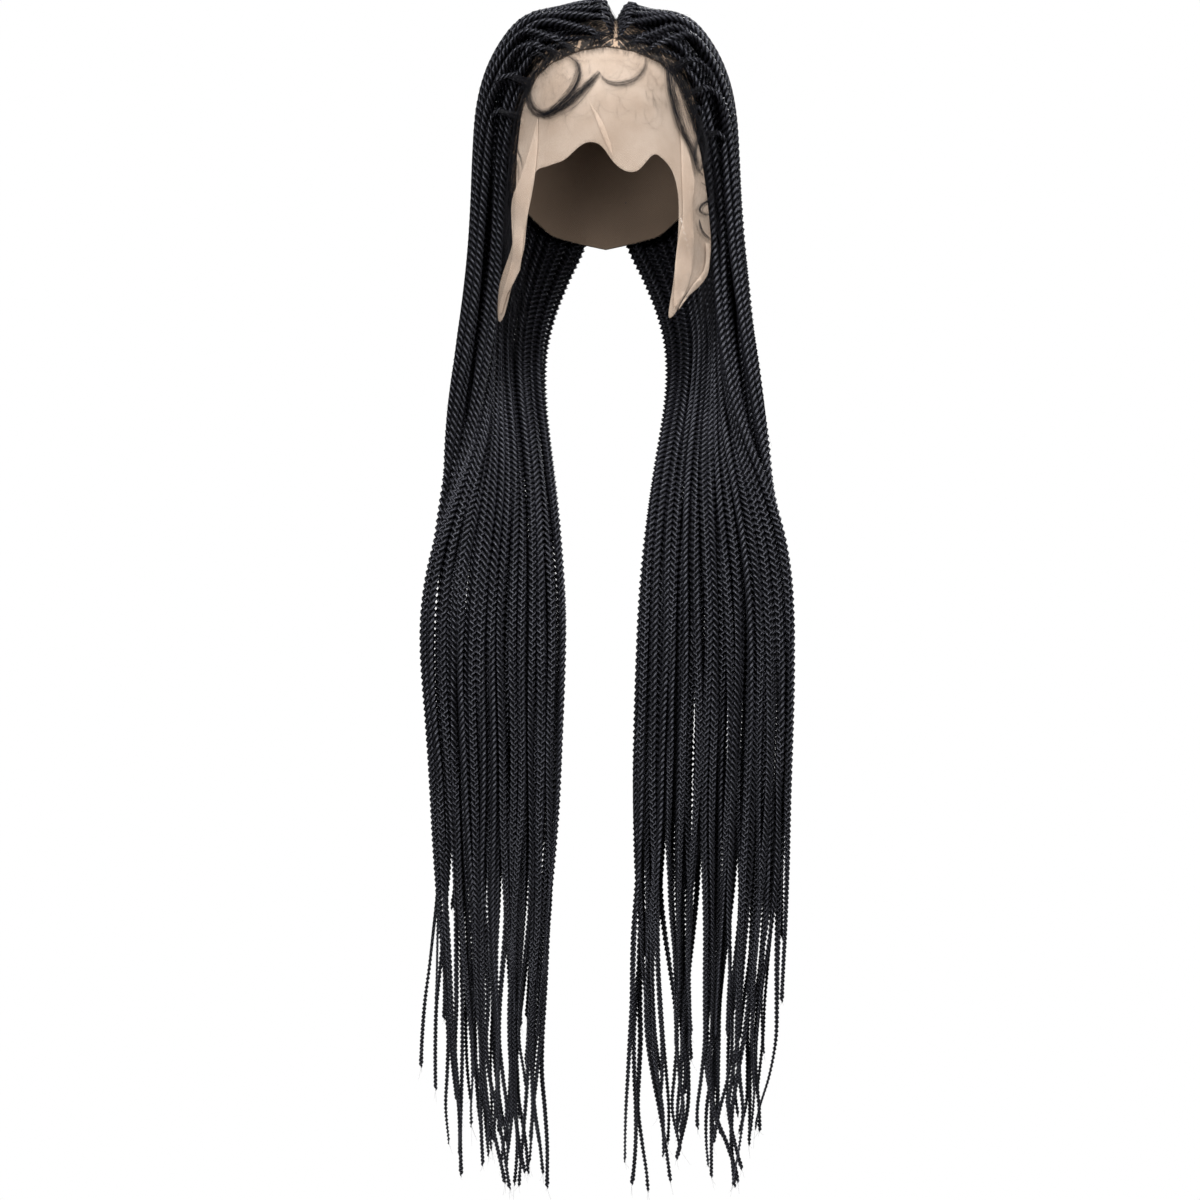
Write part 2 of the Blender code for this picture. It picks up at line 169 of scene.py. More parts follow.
# Counts and radii of the loose hairs
TEMPLE_HAIRS = 180
FINE_HAIRS = 140
HAIRLINE_HAIRS = 360
ROOT_RADII = (0.00012, 0.00020)
STRAY_RADII = (0.00004, 0.00007)
TEMPLE_RADII = (0.00012, 0.00022)
FINE_RADIUS = 0.00005
HAIRLINE_RADIUS = 0.000075

# Braids that stray from the ends of a bundle: how far outward, and the height of their tips
STRAYS = table(
    "Stray", "side top index aside end",
    (-1, True, 0, 0.030, -0.786), (-1, True, 2, 0.020, -0.748), (-1, False, 1, 0.012, -0.735),
    (-1, False, 3, 0.016, -0.800), (-1, True, 4, 0.026, -0.668), (-1, True, 1, 0.014, -0.842),
    (-1, True, 28, -0.006, -0.875), (1, True, 0, 0.020, -0.690), (1, False, 1, 0.010, -0.830),
    (1, True, 3, 0.012, -0.775), (1, False, 0, 0.008, -0.735), (1, True, 26, -0.024, -0.872),
    (1, True, 29, -0.012, -0.876), (1, False, 28, -0.016, -0.852),
)

# Free edge of the lace front from the left temple to the right one
LACE_EDGE = table(
    "EdgePoint", "across height",
    (-0.0665, -0.104), (-0.0680, -0.150), (-0.0700, -0.174), (-0.0800, -0.204), (-0.0812, -0.229),
    (-0.0770, -0.228), (-0.0700, -0.204), (-0.0620, -0.182), (-0.0590, -0.158), (-0.0535, -0.124),
    (-0.0430, -0.118), (-0.0310, -0.114), (-0.0190, -0.104), (-0.0110, -0.1015), (-0.0030, -0.105),
    (0.0060, -0.117), (0.0150, -0.123), (0.0240, -0.122), (0.0340, -0.111), (0.0400, -0.111),
    (0.0495, -0.122), (0.0540, -0.142), (0.0535, -0.172), (0.0500, -0.205), (0.0465, -0.229),
    (0.0510, -0.228), (0.0600, -0.212), (0.0740, -0.196), (0.0788, -0.176), (0.0760, -0.140),
    (0.0710, -0.104),
)
LACE_TOP_AZIMUTH = 60.0
LACE_SEAM_GAP = 0.0004
TAB_FLARE = 0.017
TAB_FLARE_HEIGHTS = (-0.075, -0.140)
LACE_STEP = 0.0025

# Places where the lace lies double: lift off the sheet in mm, then the outline as pairs across and up in mm
LACE_FOLDS = table(
    "Fold", "lift outline",
    (1.5, (
        -49.7, -79.2, -51.2, -86.2, -55.8, -104.2, -62.7, -125.2, -67.9, -136.5, -69.8, -148.1, -69.0,
        -168.8, -69.0, -186.0, -75.4, -207.8, -79.4, -222.0, -77.2, -225.5, -73.0, -211.5, -63.3, -194.2,
        -60.5, -168.8, -55.8, -145.5, -52.5, -127.5, -50.1, -104.2,
    )),
    (1.5, (
        53.1, -79.5, 54.8, -99.8, 55.5, -123.0, 56.2, -141.0, 56.2, -158.2, 53.2, -171.0, 50.6, -190.5,
        50.2, -206.2, 49.4, -222.0, 52.5, -220.5, 58.5, -210.0, 63.0, -193.5, 64.5, -171.0, 63.4, -143.2,
        65.1, -127.5, 60.0, -103.5,
    )),
    (2.4, (
        76.0, -173.2, 76.0, -184.9, 74.0, -197.2, 67.5, -206.8, 60.0, -214.0, 52.5, -225.0, 55.5, -218.2,
        64.0, -204.5, 71.5, -194.0, 73.3, -183.0, 72.8, -173.2,
    )),
    (0.9, (-12.0, -72.0, -7.5, -84.0, -1.5, -99.0, 4.8, -112.5, 3.8, -103.5, -2.2, -87.0)),
)

# Locks of baby hair on the lace: number of hairs, spread, hair radius and lift off the lace in mm,
# then the line as pairs across and up in mm.
BABY_LOCKS = table(
    "Lock", "hairs spread radius lift line",
    (56, 2.8, 0.075, 1.8, (
        -30.0, -33.8, -21.8, -40.5, -19.5, -50.2, -23.2, -60.8, -30.0, -69.0, -37.5, -75.8, -45.0, -78.8,
        -51.8, -75.0, -56.2, -67.5, -57.0, -58.5, -54.0, -49.5, -47.2, -41.2, -39.0, -36.0,
    )),
    (60, 3.2, 0.075, 1.4, (
        -4.5, -49.5, -11.2, -57.0, -19.5, -65.2, -27.8, -72.8, -36.0, -77.2, -44.2, -79.5, -50.2, -76.5,
    )),
    (26, 2.4, 0.060, 1.2, (
        -4.5, -51.0, 0.0, -56.2, 6.8, -58.5, 13.5, -57.8, 20.2, -54.8, 25.5, -49.5, 28.5, -43.5, 29.2,
        -36.0,
    )),
    (60, 2.6, 0.080, 2.2, (
        42.8, -36.0, 45.0, -47.2, 46.5, -58.5, 48.8, -68.2, 51.0, -77.2, 54.8, -89.2, 60.8, -100.5, 64.5,
        -109.5, 66.0, -117.0, 65.2, -124.5,
    )),
    (26, 1.6, 0.08, 3.6, (
        67.0, -76.0, 68.5, -84.5, 67.0, -92.5, 64.5, -101.2, 63.5, -111.0, 65.5, -118.5, 69.5, -123.8,
    )),
    (26, 1.6, 0.08, 4.0, (69.0, -87.0, 71.5, -97.5, 71.8, -107.2, 69.5, -115.5, 66.0, -122.2)),
    (6, 0.4, 0.07, 1.4, (56.2, -45.0, 51.8, -51.0, 50.2, -58.5, 51.8, -66.0, 54.0, -72.0)),
    (6, 0.4, 0.07, 1.4, (56.2, -45.0, 60.8, -51.0, 63.8, -58.5, 66.0, -65.2, 70.5, -69.8)),
    (30, 1.4, 0.08, 4.0, (
        68.2, -129.0, 73.5, -132.0, 75.8, -136.5, 73.5, -141.8, 69.0, -145.5, 67.5, -150.0, 72.0, -152.2,
        77.2, -149.2,
    )),
    (20, 1.0, 0.08, 4.0, (66.8, -156.8, 68.2, -162.8, 71.2, -167.2, 76.5, -171.0)),
    (8, 0.6, 0.07, 2.0, (-71.2, -87.0, -68.2, -96.0, -65.2, -103.5, -62.2, -111.8, -60.8, -120.0)),
    (6, 0.5, 0.07, 2.0, (-72.8, -100.5, -67.5, -108.0, -64.5, -117.0, -63.8, -127.5)),
)
TEMPLE_FRONT = -0.046

# Lamps with their place, width and height, and share of the softbox's power. All aim at one point.
LAMPS = table(
    "Lamp", "name place size share",
    ("key", (-0.9, -2.3, 0.9), (0.9, 0.9), 1.0),
    ("fill", (1.3, -2.0, 0.2), (0.6, 1.4), 0.45),
    ("top", (0.2, -0.6, 1.6), (0.8, 0.8), 0.5),
    ("back", (0.6, 2.2, 0.7), (1.4, 1.0), 0.5),
)
LAMP_AIM = (0.0, 0.0, -0.35)


class Socket:
    """An output socket that adds Math nodes when it is used in arithmetic."""

    def __init__(self, tree, output):
        self.tree = tree
        self.output = output

    def math(self, operation, *others):
        return self.tree.add("ShaderNodeMath", {"operation": operation}, dict(enumerate((self, *others))))

    def __rsub__(self, other):
        return self.tree.add("ShaderNodeMath", {"operation": "SUBTRACT"}, {0: other, 1: self})

    def clamp(self):
        return self.tree.add("ShaderNodeClamp", {}, {"Value": self, "Min": 0.0, "Max": 1.0})

    __add__ = __radd__ = partialmethod(math, "ADD")
    __mul__ = __rmul__ = partialmethod(math, "MULTIPLY")
    __sub__ = partialmethod(math, "SUBTRACT")
    __truediv__ = partialmethod(math, "DIVIDE")
    __pow__ = partialmethod(math, "POWER")
    __gt__ = partialmethod(math, "GREATER_THAN")
    __mod__ = partialmethod(math, "FLOORED_MODULO")
    __abs__ = partialmethod(math, "ABSOLUTE")
    sin = partialmethod(math, "SINE")
    cos = partialmethod(math, "COSINE")
    fraction = partialmethod(math, "FRACT")


class Tree:
    """Adds nodes of one shader or geometry tree."""

    def __init__(self, nodes):
        self.nodes = nodes

    def add(self, kind, settings=None, inputs=None, out=0):
        """One output of a new node, or all of them where out is None."""
        node = self.nodes.nodes.new(kind)
        for name, value in (settings or {}).items():
            if name == "stops":
                self.fill_ramp(node.color_ramp, value)
            else:
                setattr(node, name, value)
        for key, value in (inputs or {}).items():
            if isinstance(value, Socket):
                self.nodes.links.new(value.output, node.inputs[key])
            else:
                node.inputs[key].default_value = value
        found = [Socket(self, output) for output in node.outputs]
        return found if out is None else found[out]

    @staticmethod
    def fill_ramp(ramp, stops):
        while len(ramp.elements) < len(stops):
            ramp.elements.new(1.0)
        for element, (place, value) in zip(ramp.elements, stops):
            element.position = place
            element.color = (value, value, value, 1.0)

    def geo(self, kind, settings=None, **inputs):
        """A geometry node, with inputs by name."""
        inputs = {name.replace("_", " "): value for name, value in inputs.items()}
        return self.add("GeometryNode" + kind, settings, inputs)

    def named(self, name, kind="FLOAT"):
        return self.geo("InputNamedAttribute", {"data_type": kind}, Name=name)

    def store(self, geometry, name, value):
        settings = {"data_type": "FLOAT", "domain": "POINT"}
        return self.geo("StoreNamedAttribute", settings, Geometry=geometry, Name=name, Value=value)

    def moved(self, place, along, distance):
        step = self.add("ShaderNodeVectorMath", {"operation": "SCALE"}, {"Vector": along, "Scale": distance})
        return self.add("ShaderNodeVectorMath", {"operation": "ADD"}, {0: place, 1: step})

    def combine(self, x, y, z):
        return self.add("ShaderNodeCombineXYZ", {}, {"X": x, "Y": y, "Z": z})

    def separate(self, vector):
        return self.add("ShaderNodeSeparateXYZ", {}, {"Vector": vector}, out=None)

    def noise(self, vector, scale, detail=2.0, roughness=0.5):
        inputs = {"Vector": vector, "Scale": scale, "Detail": detail, "Roughness": roughness}
        return self.add("ShaderNodeTexNoise", {}, inputs)

    def ramp(self, value, *stops):
        return self.add("ShaderNodeValToRGB", {"stops": stops}, {"Fac": value})

    def mix(self, factor, low, high):
        """A mix of two colours. The colour sockets of the node are inputs 6 and 7 and output 2."""
        return self.add("ShaderNodeMix", {"data_type": "RGBA"}, {0: factor, 6: low, 7: high}, out=2)


class ShaderTree(Tree):
    """The tree of one new material, with its surface shader and that shader's constants."""

    def __init__(self, name, **values):
        self.material = bpy.data.materials.new(name)
        self.material.use_nodes = True
        super().__init__(self.material.node_tree)
        self.shader = self.nodes.nodes["Principled BSDF"]
        for key, value in values.items():
            self.shader.inputs[key.replace("_", " ")].default_value = value

    def feed(self, name, value):
        self.nodes.links.new(value.output, self.shader.inputs[name])

    def place(self):
        return self.add("ShaderNodeTexCoord", out=3)

    def attribute(self, name):
        return self.add("ShaderNodeAttribute", {"attribute_name": name}, out=2)

    def bump(self, height, strength, distance):
        inputs = {"Height": height, "Strength": strength, "Distance": distance}
        self.feed("Normal", self.add("ShaderNodeBump", {}, inputs))


def geometry_tree(name, **inputs):
    """A new geometry tree with one geometry input and the named ones after it."""
    nodes = bpy.data.node_groups.new(name, "GeometryNodeTree")
    nodes.is_modifier = True
    nodes.interface.new_socket("Geometry", in_out="OUTPUT", socket_type="NodeSocketGeometry")
    for label, kind in {"Geometry": "Geometry", **inputs}.items():
        nodes.interface.new_socket(label, in_out="INPUT", socket_type=f"NodeSocket{kind}")
    tree = Tree(nodes)
    entry = nodes.nodes.new("NodeGroupInput")
    tree.given = {s.name: Socket(tree, s) for s in entry.outputs if s.name}
    return tree


def finish_tree(tree, geometry, *spent):
    """Smooth the result, drop the attributes that are spent, and end the tree."""
    geometry = tree.geo("SetShadeSmooth", Geometry=geometry)
    for name in spent:
        geometry = tree.geo("RemoveAttribute", Geometry=geometry, Name=name)
    geometry = tree.geo("RealizeInstances", Geometry=geometry)
    geometry = tree.geo("SetMaterial", Geometry=geometry, Material=tree.given["Material"])
    leave = tree.nodes.nodes.new("NodeGroupOutput")
    tree.nodes.links.new(geometry.output, leave.inputs["Geometry"])
    return tree


def settle(piece):
    """Apply a piece's modifiers so that its mesh is plain."""
    evaluated = piece.evaluated_get(bpy.context.evaluated_depsgraph_get())
    data = bpy.data.meshes.new_from_object(evaluated)
    old = piece.data
    piece.modifiers.clear()
    piece.data = data
    bpy.data.meshes.remove(old)


def grown(guides, tree, name, **values):
    """Run a geometry tree on guide lines, which turn into a plain mesh object with a new name."""
    modifier = guides.modifiers.new("Growth", "NODES")
    modifier.node_group = tree.nodes
    sockets = {i.name: i.identifier for i in tree.nodes.interface.items_tree}
    for label, value in values.items():
        modifier[sockets[label]] = value
    settle(guides)
    guides.name = guides.data.name = name
    return guides


def line_guides(lines, **attributes):
    """Guide lines as a mesh of edges. Each attribute holds one array for each line."""
    counts = [len(line) for line in lines]
    points = np.concatenate(lines)
    starts = np.cumsum([0, *counts[:-1]])
    edges = np.concatenate([
        np.column_stack([np.arange(s, s + n - 1), np.arange(s + 1, s + n)])
        for s, n in zip(starts, counts)
    ])
    mesh = bpy.data.meshes.new("guides")
    mesh.vertices.add(len(points))
    mesh.vertices.foreach_set("co", points.astype(np.float32).ravel())
    mesh.edges.add(len(edges))
    mesh.edges.foreach_set("vertices", edges.astype(np.int32).ravel())
    for label, arrays in attributes.items():
        values = np.concatenate(arrays)
        vector = values.ndim == 2
        kind, key = ("FLOAT_VECTOR", "vector") if vector else ("FLOAT", "value")
        layer = mesh.attributes.new(label, kind, "POINT")
        layer.data.foreach_set(key, values.astype(np.float32).ravel())
    mesh.update()
    return add_piece("guides", mesh)


def smooth(low, high, value):
    step = np.clip((np.asarray(value, float) - low) / (high - low), 0.0, 1.0)
    return step * step * (3 - 2 * step)


def between(ends, share):
    return ends[0] + (ends[1] - ends[0]) * share


def unit(vectors):
    return vectors / np.maximum(np.linalg.norm(vectors, axis=-1, keepdims=True), 1e-9)


def through(points, count):
    """A smooth curve through points, with count steps between each two."""
    p = np.vstack([2 * points[0] - points[1], points, 2 * points[-1] - points[-2]])
    t = np.linspace(0, 1, count, endpoint=False)[:, None]
    runs = [
        0.5 * (2 * b + (c - a) * t + (2 * a - 5 * b + 4 * c - d) * t**2 + (3 * b - a - 3 * c + d) * t**3)
        for a, b, c, d in zip(p[:-3], p[1:-2], p[2:-1], p[3:])
    ]
    return np.vstack([*runs, points[-1:]])


def direction(azimuth, polar):
    """Unit vector at an azimuth from the front and an angle down from the crown, both in radians."""
    azimuth, polar = np.broadcast_arrays(np.asarray(azimuth, float), np.asarray(polar, float))
    across = np.sin(polar)
    return np.stack([across * np.sin(azimuth), -across * np.cos(azimuth), np.cos(polar)], -1)


def head_point(pointing, lift=0.0):
    """Point of the head that a direction from its middle stands for, raised along the head's normal."""
    pointing = unit(np.asarray(pointing, float))
    power = 2.0 / HEAD_ROUNDNESS
    flat = np.hypot(pointing[..., 0], pointing[..., 1])
    ring = flat**power
    rise = np.copysign(np.abs(pointing[..., 2]) ** power, pointing[..., 2])
    turn = pointing[..., :2] / np.maximum(flat, 1e-9)[..., None]
    point = np.stack([
        HEAD_HALF_WIDTH * turn[..., 0] * ring,
        HEAD_HALF_DEPTH * turn[..., 1] * ring,
        HEAD_RISE * (rise - 1.0),
    ], -1)
    squash = np.maximum(ring, 1e-6) ** (HEAD_ROUNDNESS - 2.0)
    normal = unit(np.stack([
        squash * point[..., 0] / HEAD_HALF_WIDTH**2,
        squash * point[..., 1] / HEAD_HALF_DEPTH**2,
        np.copysign(np.abs(rise) ** (HEAD_ROUNDNESS - 1.0), rise) / HEAD_RISE,
    ], -1))
    return point + normal * np.asarray(lift, float)[..., None], normal


def polar_at(height):
    """Angle down from the crown at which the head reaches a height."""
    rise = np.clip(1.0 + np.asarray(height, float) / HEAD_RISE, -1.0, 1.0)
    return np.arccos(np.copysign(np.abs(rise) ** (HEAD_ROUNDNESS / 2.0), rise))


def edge_polar(azimuth):
    """Angle down from the crown at which the cap ends, for an azimuth in radians."""
    turn = np.degrees(np.abs((np.asarray(azimuth) + np.pi) % (2 * np.pi) - np.pi))
    return polar_at(np.interp(turn, [e.azimuth for e in CAP_EDGE], [e.height for e in CAP_EDGE]))


def flow(share, run):
    """Direction from the head's middle along one fall of hair."""
    share, run = np.broadcast_arrays(np.asarray(share, float), np.asarray(run, float))
    along = between((PARTING_FRONT, PARTING_BACK), share)
    start = parting_direction(along)
    lift = BEND_POLAR_LIFT * np.sin(np.pi * share)
    bend = direction(
        np.radians(between(BEND_AZIMUTHS, share)), np.radians(between(BEND_POLARS, share) - lift)
    )
    fall = direction(np.radians(between(FALL_AZIMUTHS, share)), np.pi / 2)
    r = run[..., None]
    return unit(start * (1 - r) ** 2 + bend * 2 * r * (1 - r) + fall * r**2)


def parting_direction(along, across=PARTING_HALF_WIDTH):
    """Direction of a point on the head near the parting, at distances behind the crown and to the side."""
    flat_x = across / HEAD_HALF_WIDTH
    flat_y = np.asarray(along, float) / HEAD_HALF_DEPTH
    ring = np.hypot(flat_x, flat_y)
    return direction(np.arctan2(flat_x, -flat_y), np.arcsin(ring ** (HEAD_ROUNDNESS / 2.0)))


def half_thickness(height):
    """Half the thickness of both layers of hair together."""
    heights = [HEAD_RISE] + [-row.height for row in SECTIONS]
    thickness = [EQUATOR_THICKNESS] + [row.thickness for row in SECTIONS]
    return np.interp(-np.asarray(height), heights, thickness) * MM / 2


def hanging_sheet(rng, side):
    """Places and outward normals of the middle surface of the hanging hair, by station and by share across,
    and how each clump of ends drifts across it."""
    rows = []
    for row in SECTIONS:
        line = np.array(row[2:12], float).reshape(5, 2)
        if side < 0:
            outer, inner = line[0, 0], line[-1, 0]
            share = (line[:, 0] - inner) / (outer - inner)
            line[:, 0] = row.left_inner + share * (row.left_outer - row.left_inner)
        line = through(line * MM, 8)
        run = np.concatenate([[0.0], np.cumsum(np.linalg.norm(np.diff(line, axis=0), axis=1))])
        rows.append(np.column_stack([np.interp(SHARES * run[-1], run, line[:, k]) for k in (0, 1)]))
    levels = -np.array([row.height for row in SECTIONS])
    rows = np.array(rows)
    heights = np.array(HANG_STATIONS)
    grid = np.empty((len(heights), len(SHARES), 3))
    for k in (0, 1):
        for j in range(len(SHARES)):
            grid[:, j, k] = np.interp(-heights, levels, rows[:, j, k])
    grid[:, :, 2] = heights[:, None]
    for _ in range(2):
        grid[1:-1] = 0.25 * grid[:-2] + 0.5 * grid[1:-1] + 0.25 * grid[2:]
    normals = unit(np.cross(np.gradient(grid, axis=0), np.gradient(grid, axis=1)))
    drifts = [wander(rng, len(heights), 4, 0.018) for _ in CLUMPS]
    return grid, normals, drifts


def wander(rng, stations, every, amount):
    """A slow random drift along the stations of one braid."""
    knots = np.arange(0, stations + every, every)
    drift = np.interp(np.arange(stations), knots, rng.normal(0.0, 1.0, len(knots)))
    return drift * amount


def share_of(top, index, count):
    """Place of a braid across its layer. The under layer's braids lie between those of the top one."""
    return (index + (0.5 if top else 0.75)) / (count + (0.0 if top else 0.25))


def root_place(side, top, index, count):
    """Where a braid leaves the head: its direction, and the run at which it starts."""
    share = share_of(top, index, count)
    if index >= FRONT_ROW:
        if not top:
            return None, UNDER_ROOT_RUN + 0.05 * ((index * 5) % 4) / 4
        along = between(PARTING_ROOTS, (index - FRONT_ROW) / (count - 1 - FRONT_ROW))
        return parting_direction(along, PARTING_HALF_WIDTH + side * PARTING_ACROSS), 0.0
    azimuth = math.radians((HAIRLINE_ROOTS if top else SECOND_ROOTS)[side][index])
    inset = math.radians(HAIRLINE_INSET if top else SECOND_INSET)
    runs = np.linspace(0.0, 0.8, 81)
    pointing = flow(share, runs)
    turns = np.arctan2(pointing[:, 0], -pointing[:, 1])
    start = float(np.interp(azimuth, turns, runs)) * 0.9
    return direction(azimuth, edge_polar(azimuth) - inset), start


def lay_braid(rng, sheet, side, top, index, count):
    """Middle line of one braid from its root to its tip, with the outward normal beside each point."""
    share = share_of(top, index, count)
    root, start = root_place(side, top, index, count)
    runs = np.array([start] + [r for r in HEAD_STATIONS if r > start + 0.02])
    pointing = flow(share, runs)
    if root is not None:
        stay = 1.0 - smooth(0.0, ROOT_JOIN, runs - start)
        pointing = unit(pointing + (root - pointing[0]) * stay[:, None])
    layer_half = half_thickness(-HEAD_RISE) / 2 - LAYER_GAP / 4
    base = CAP_WALL + BRAID_CLEARANCE + layer_half
    fresh = smooth(0.0, CREST_RUN, runs - start)
    before, done = TOP_LAYER_CLIMB
    climb = TOP_LAYER_RISE * smooth(UNDER_LAYER_START - before, UNDER_LAYER_START - done, runs)
    parity = 1.0 if index % 2 else -1.0
    settled = 1.0 if top else smooth(0.22, 0.44, runs)
    low_lift = CAP_WALL + ROOT_LIFT
    lift = low_lift + (base - CAP_WALL - ROOT_LIFT + parity * ROW_STAGGER) * fresh * settled
    if top:
        crest = CREST_RISE[side]
        lift = lift + climb + (crest - (crest - SETTLED_RISE) * smooth(0.12, 0.46, runs)) * fresh
    head, head_normals = head_point(pointing, lift)

    grid, normals, drifts = sheet
    stations = len(HANG_STATIONS)
    heights = np.array(HANG_STATIONS)
    low = smooth(0.60, 0.78, -heights)
    clump = min(range(len(CLUMPS)), key=lambda k: abs(CLUMPS[k] + rng.normal(0.0, 0.05) - share))
    gather = 0.66 * low * (1.0 - 0.25 * smooth(0.76, 0.88, -heights))
    shares = share + (CLUMPS[clump] + drifts[clump] - share) * gather
    for drift in DRIFTS:
        grown_in = smooth(drift.begins, drift.full, -heights)
        shares += wander(rng, stations, drift.every, drift.amount) * grown_in
    shares = np.clip(shares, 0.004, 0.996)
    half = half_thickness(heights)
    depth = (half / 2 + LAYER_GAP / 4) * (1.0 if top else -1.0)
    depth += parity * (half / 2 - 0.0028) * 0.7 * (1.0 - 0.3 * low)
    depth += wander(rng, stations, 4, 0.0015)
    place = np.empty((stations, 3))
    out = np.empty((stations, 3))
    for k in range(3):
        place[:, k] = [np.interp(s, SHARES, row) for s, row in zip(shares, grid[:, :, k])]
        out[:, k] = [np.interp(s, SHARES, row) for s, row in zip(shares, normals[:, :, k])]
    out = unit(out)
    place = place + out * depth[:, None]
    stray = stray_of(side, top, index)
    if stray:
        place[:, 0] += stray.aside * smooth(0.60, 0.80, -heights)
    place[:, 0] += rng.normal(0.0, 0.009) * smooth(0.79, 0.90, -heights)
    for k in (0, 1):
        place[:, k] += wander(rng, stations, 1, 0.0013) * smooth(0.62, 0.80, -heights)

    points = np.vstack([head, place])
    out = np.vstack([head_normals, out])
    inner = points.copy()
    inner[2:-1] = 0.25 * points[1:-2] + 0.5 * points[2:-1] + 0.25 * points[3:]
    points, out = through(inner, 12), unit(through(out, 12))
    points[:, 0] *= side
    out[:, 0] *= side
    return points, out, pointing[0] * (side, 1.0, 1.0)


def stray_of(side, top, index):
    """The entry of a straying braid, or None for one that stays in its bundle."""
    return next((s for s in STRAYS if (s.side, s.top, s.index) == (side, top, index)), None)


def end_height(rng, stray):
    """Height of one braid's tip."""
    early, late = rng.uniform(*EARLY_TIPS), rng.normal(*LATE_TIPS)
    chosen = early if rng.random() < EARLY_SHARE else float(np.clip(late, *TIP_LIMITS))
    return stray.end if stray else chosen


def stitched(rng, points, normals, settings):
    """The rows of one braid: centre, axes, half width, stitch length and row number at each half stitch."""
    s = np.concatenate([[0.0], np.cumsum(np.linalg.norm(np.diff(points, axis=0), axis=1))])
    total = s[-1]
    scale = rng.normal(1.0, 0.05)
    dense = np.linspace(0.0, total, 900)
    grow = 0.40 + 0.38 * smooth(0.0, 0.016, dense) + 0.22 * smooth(0.012, 0.050, dense)
    taper = np.interp(dense / total, [w.run for w in WIDTHS], [w.share for w in WIDTHS])
    width = settings.width / 2 * scale * grow * taper
    pitch = settings.stitch * np.maximum(width / (settings.width / 2), 0.2) ** 0.42
    count = np.concatenate([[0.0], np.cumsum(np.diff(dense) * 2 / pitch[:-1])])
    at = np.interp(np.arange(int(count[-1]) + 1), count, dense)
    row = np.arange(len(at))
    centre = np.column_stack([np.interp(at, s, points[:, k]) for k in range(3)])
    out = unit(np.column_stack([np.interp(at, s, normals[:, k]) for k in range(3)]))
    along = unit(np.gradient(centre, axis=0))
    knots = np.linspace(0.0, total, 9)
    loose = np.interp(at, (0.0, 0.2, 0.45), (0.12, 0.25, 0.9))
    twist = np.interp(at, knots, rng.normal(0.0, 1.0, len(knots))) * loose
    across = unit(np.cross(along, out))
    out = np.cross(across, along)
    half_width = np.interp(at, dense, width)
    if rng.random() < 0.7:
        half_width[-len(KNOT_BULGE):] *= KNOT_BULGE
    turn = np.cos(twist)[:, None], np.sin(twist)[:, None]
    across, out = across * turn[0] + out * turn[1], out * turn[0] - across * turn[1]
    return {
        "centre": centre,
        "across": across,
        "outward": out,
        "along": along,
        "half_width": half_width,
        "girth": half_width * 2 / settings.width,
        "stitch": np.interp(at, dense, pitch),
        "row": row + 2.0 * rng.integers(0, 500),
    }


def braid_tree():
    """Three-strand braid along each guide line. A ring of points follows one strand from the middle of the
    face round the side to the middle of the back. Rings are ridges and grooves by turns, opposite on each
    side."""
    tree = geometry_tree(
        "Braid", Sides="Int", Thickness="Float", Ridge="Float", Overlap="Float", Material="Material"
    )
    given = tree.given
    curves = tree.geo("MeshToCurve", Mesh=given["Geometry"])
    circle = tree.geo("CurvePrimitiveCircle", {"mode": "RADIUS"}, Resolution=given["Sides"], Radius=0.001)
    turn = tree.geo("InputIndex") / given["Sides"]
    circle = tree.store(circle, "turn", turn - (turn > 0.5) * 1.0)
    tube = tree.geo("CurveToMesh", Curve=curves, Profile_Curve=circle, Fill_Caps=True)
    part = tree.named("turn") * 2.0
    angle = part * math.pi
    half = tree.named("half_width")
    relief = given["Ridge"] / tree.named("girth") ** 0.80
    odd = tree.named("row") % 2.0
    side = (angle.sin() > 0.02) - (angle.sin() * -1.0 > 0.02)
    size = 1.0 + side * (1.0 - odd * 2.0) * relief
    middle = (1.0 - abs(side)) * (odd * 2.0 - 1.0) * given["Overlap"]
    x = (angle.sin() * size + middle) * half
    y = angle.cos() * size * half * given["Thickness"]
    shift = abs(part) * tree.named("stitch") * 1.5
    place = tree.named("centre", "FLOAT_VECTOR")
    for name, distance in (("across", x), ("outward", y), ("along", shift)):
        place = tree.moved(place, tree.named(name, "FLOAT_VECTOR"), distance)
    tube = tree.geo("SetPosition", Geometry=tube, Position=place)
    tube = tree.store(tube, "round", angle.sin())
    return finish_tree(tree, tube, "turn", "centre", "across", "outward", "along", "half_width", "stitch")


def strand_tree():
    """Single hairs or fine bunches: a thin three-sided tube along each guide line."""
    tree = geometry_tree("Strand", Sides="Int", Material="Material")
    given = tree.given
    curves = tree.geo("MeshToCurve", Mesh=given["Geometry"])
    circle = tree.geo("CurvePrimitiveCircle", {"mode": "RADIUS"}, Resolution=given["Sides"], Radius=1.0)
    tube = tree.geo(
        "CurveToMesh", Curve=curves, Profile_Curve=circle, Scale=tree.named("thick"), Fill_Caps=True
    )
    return finish_tree(tree, tube, "thick")


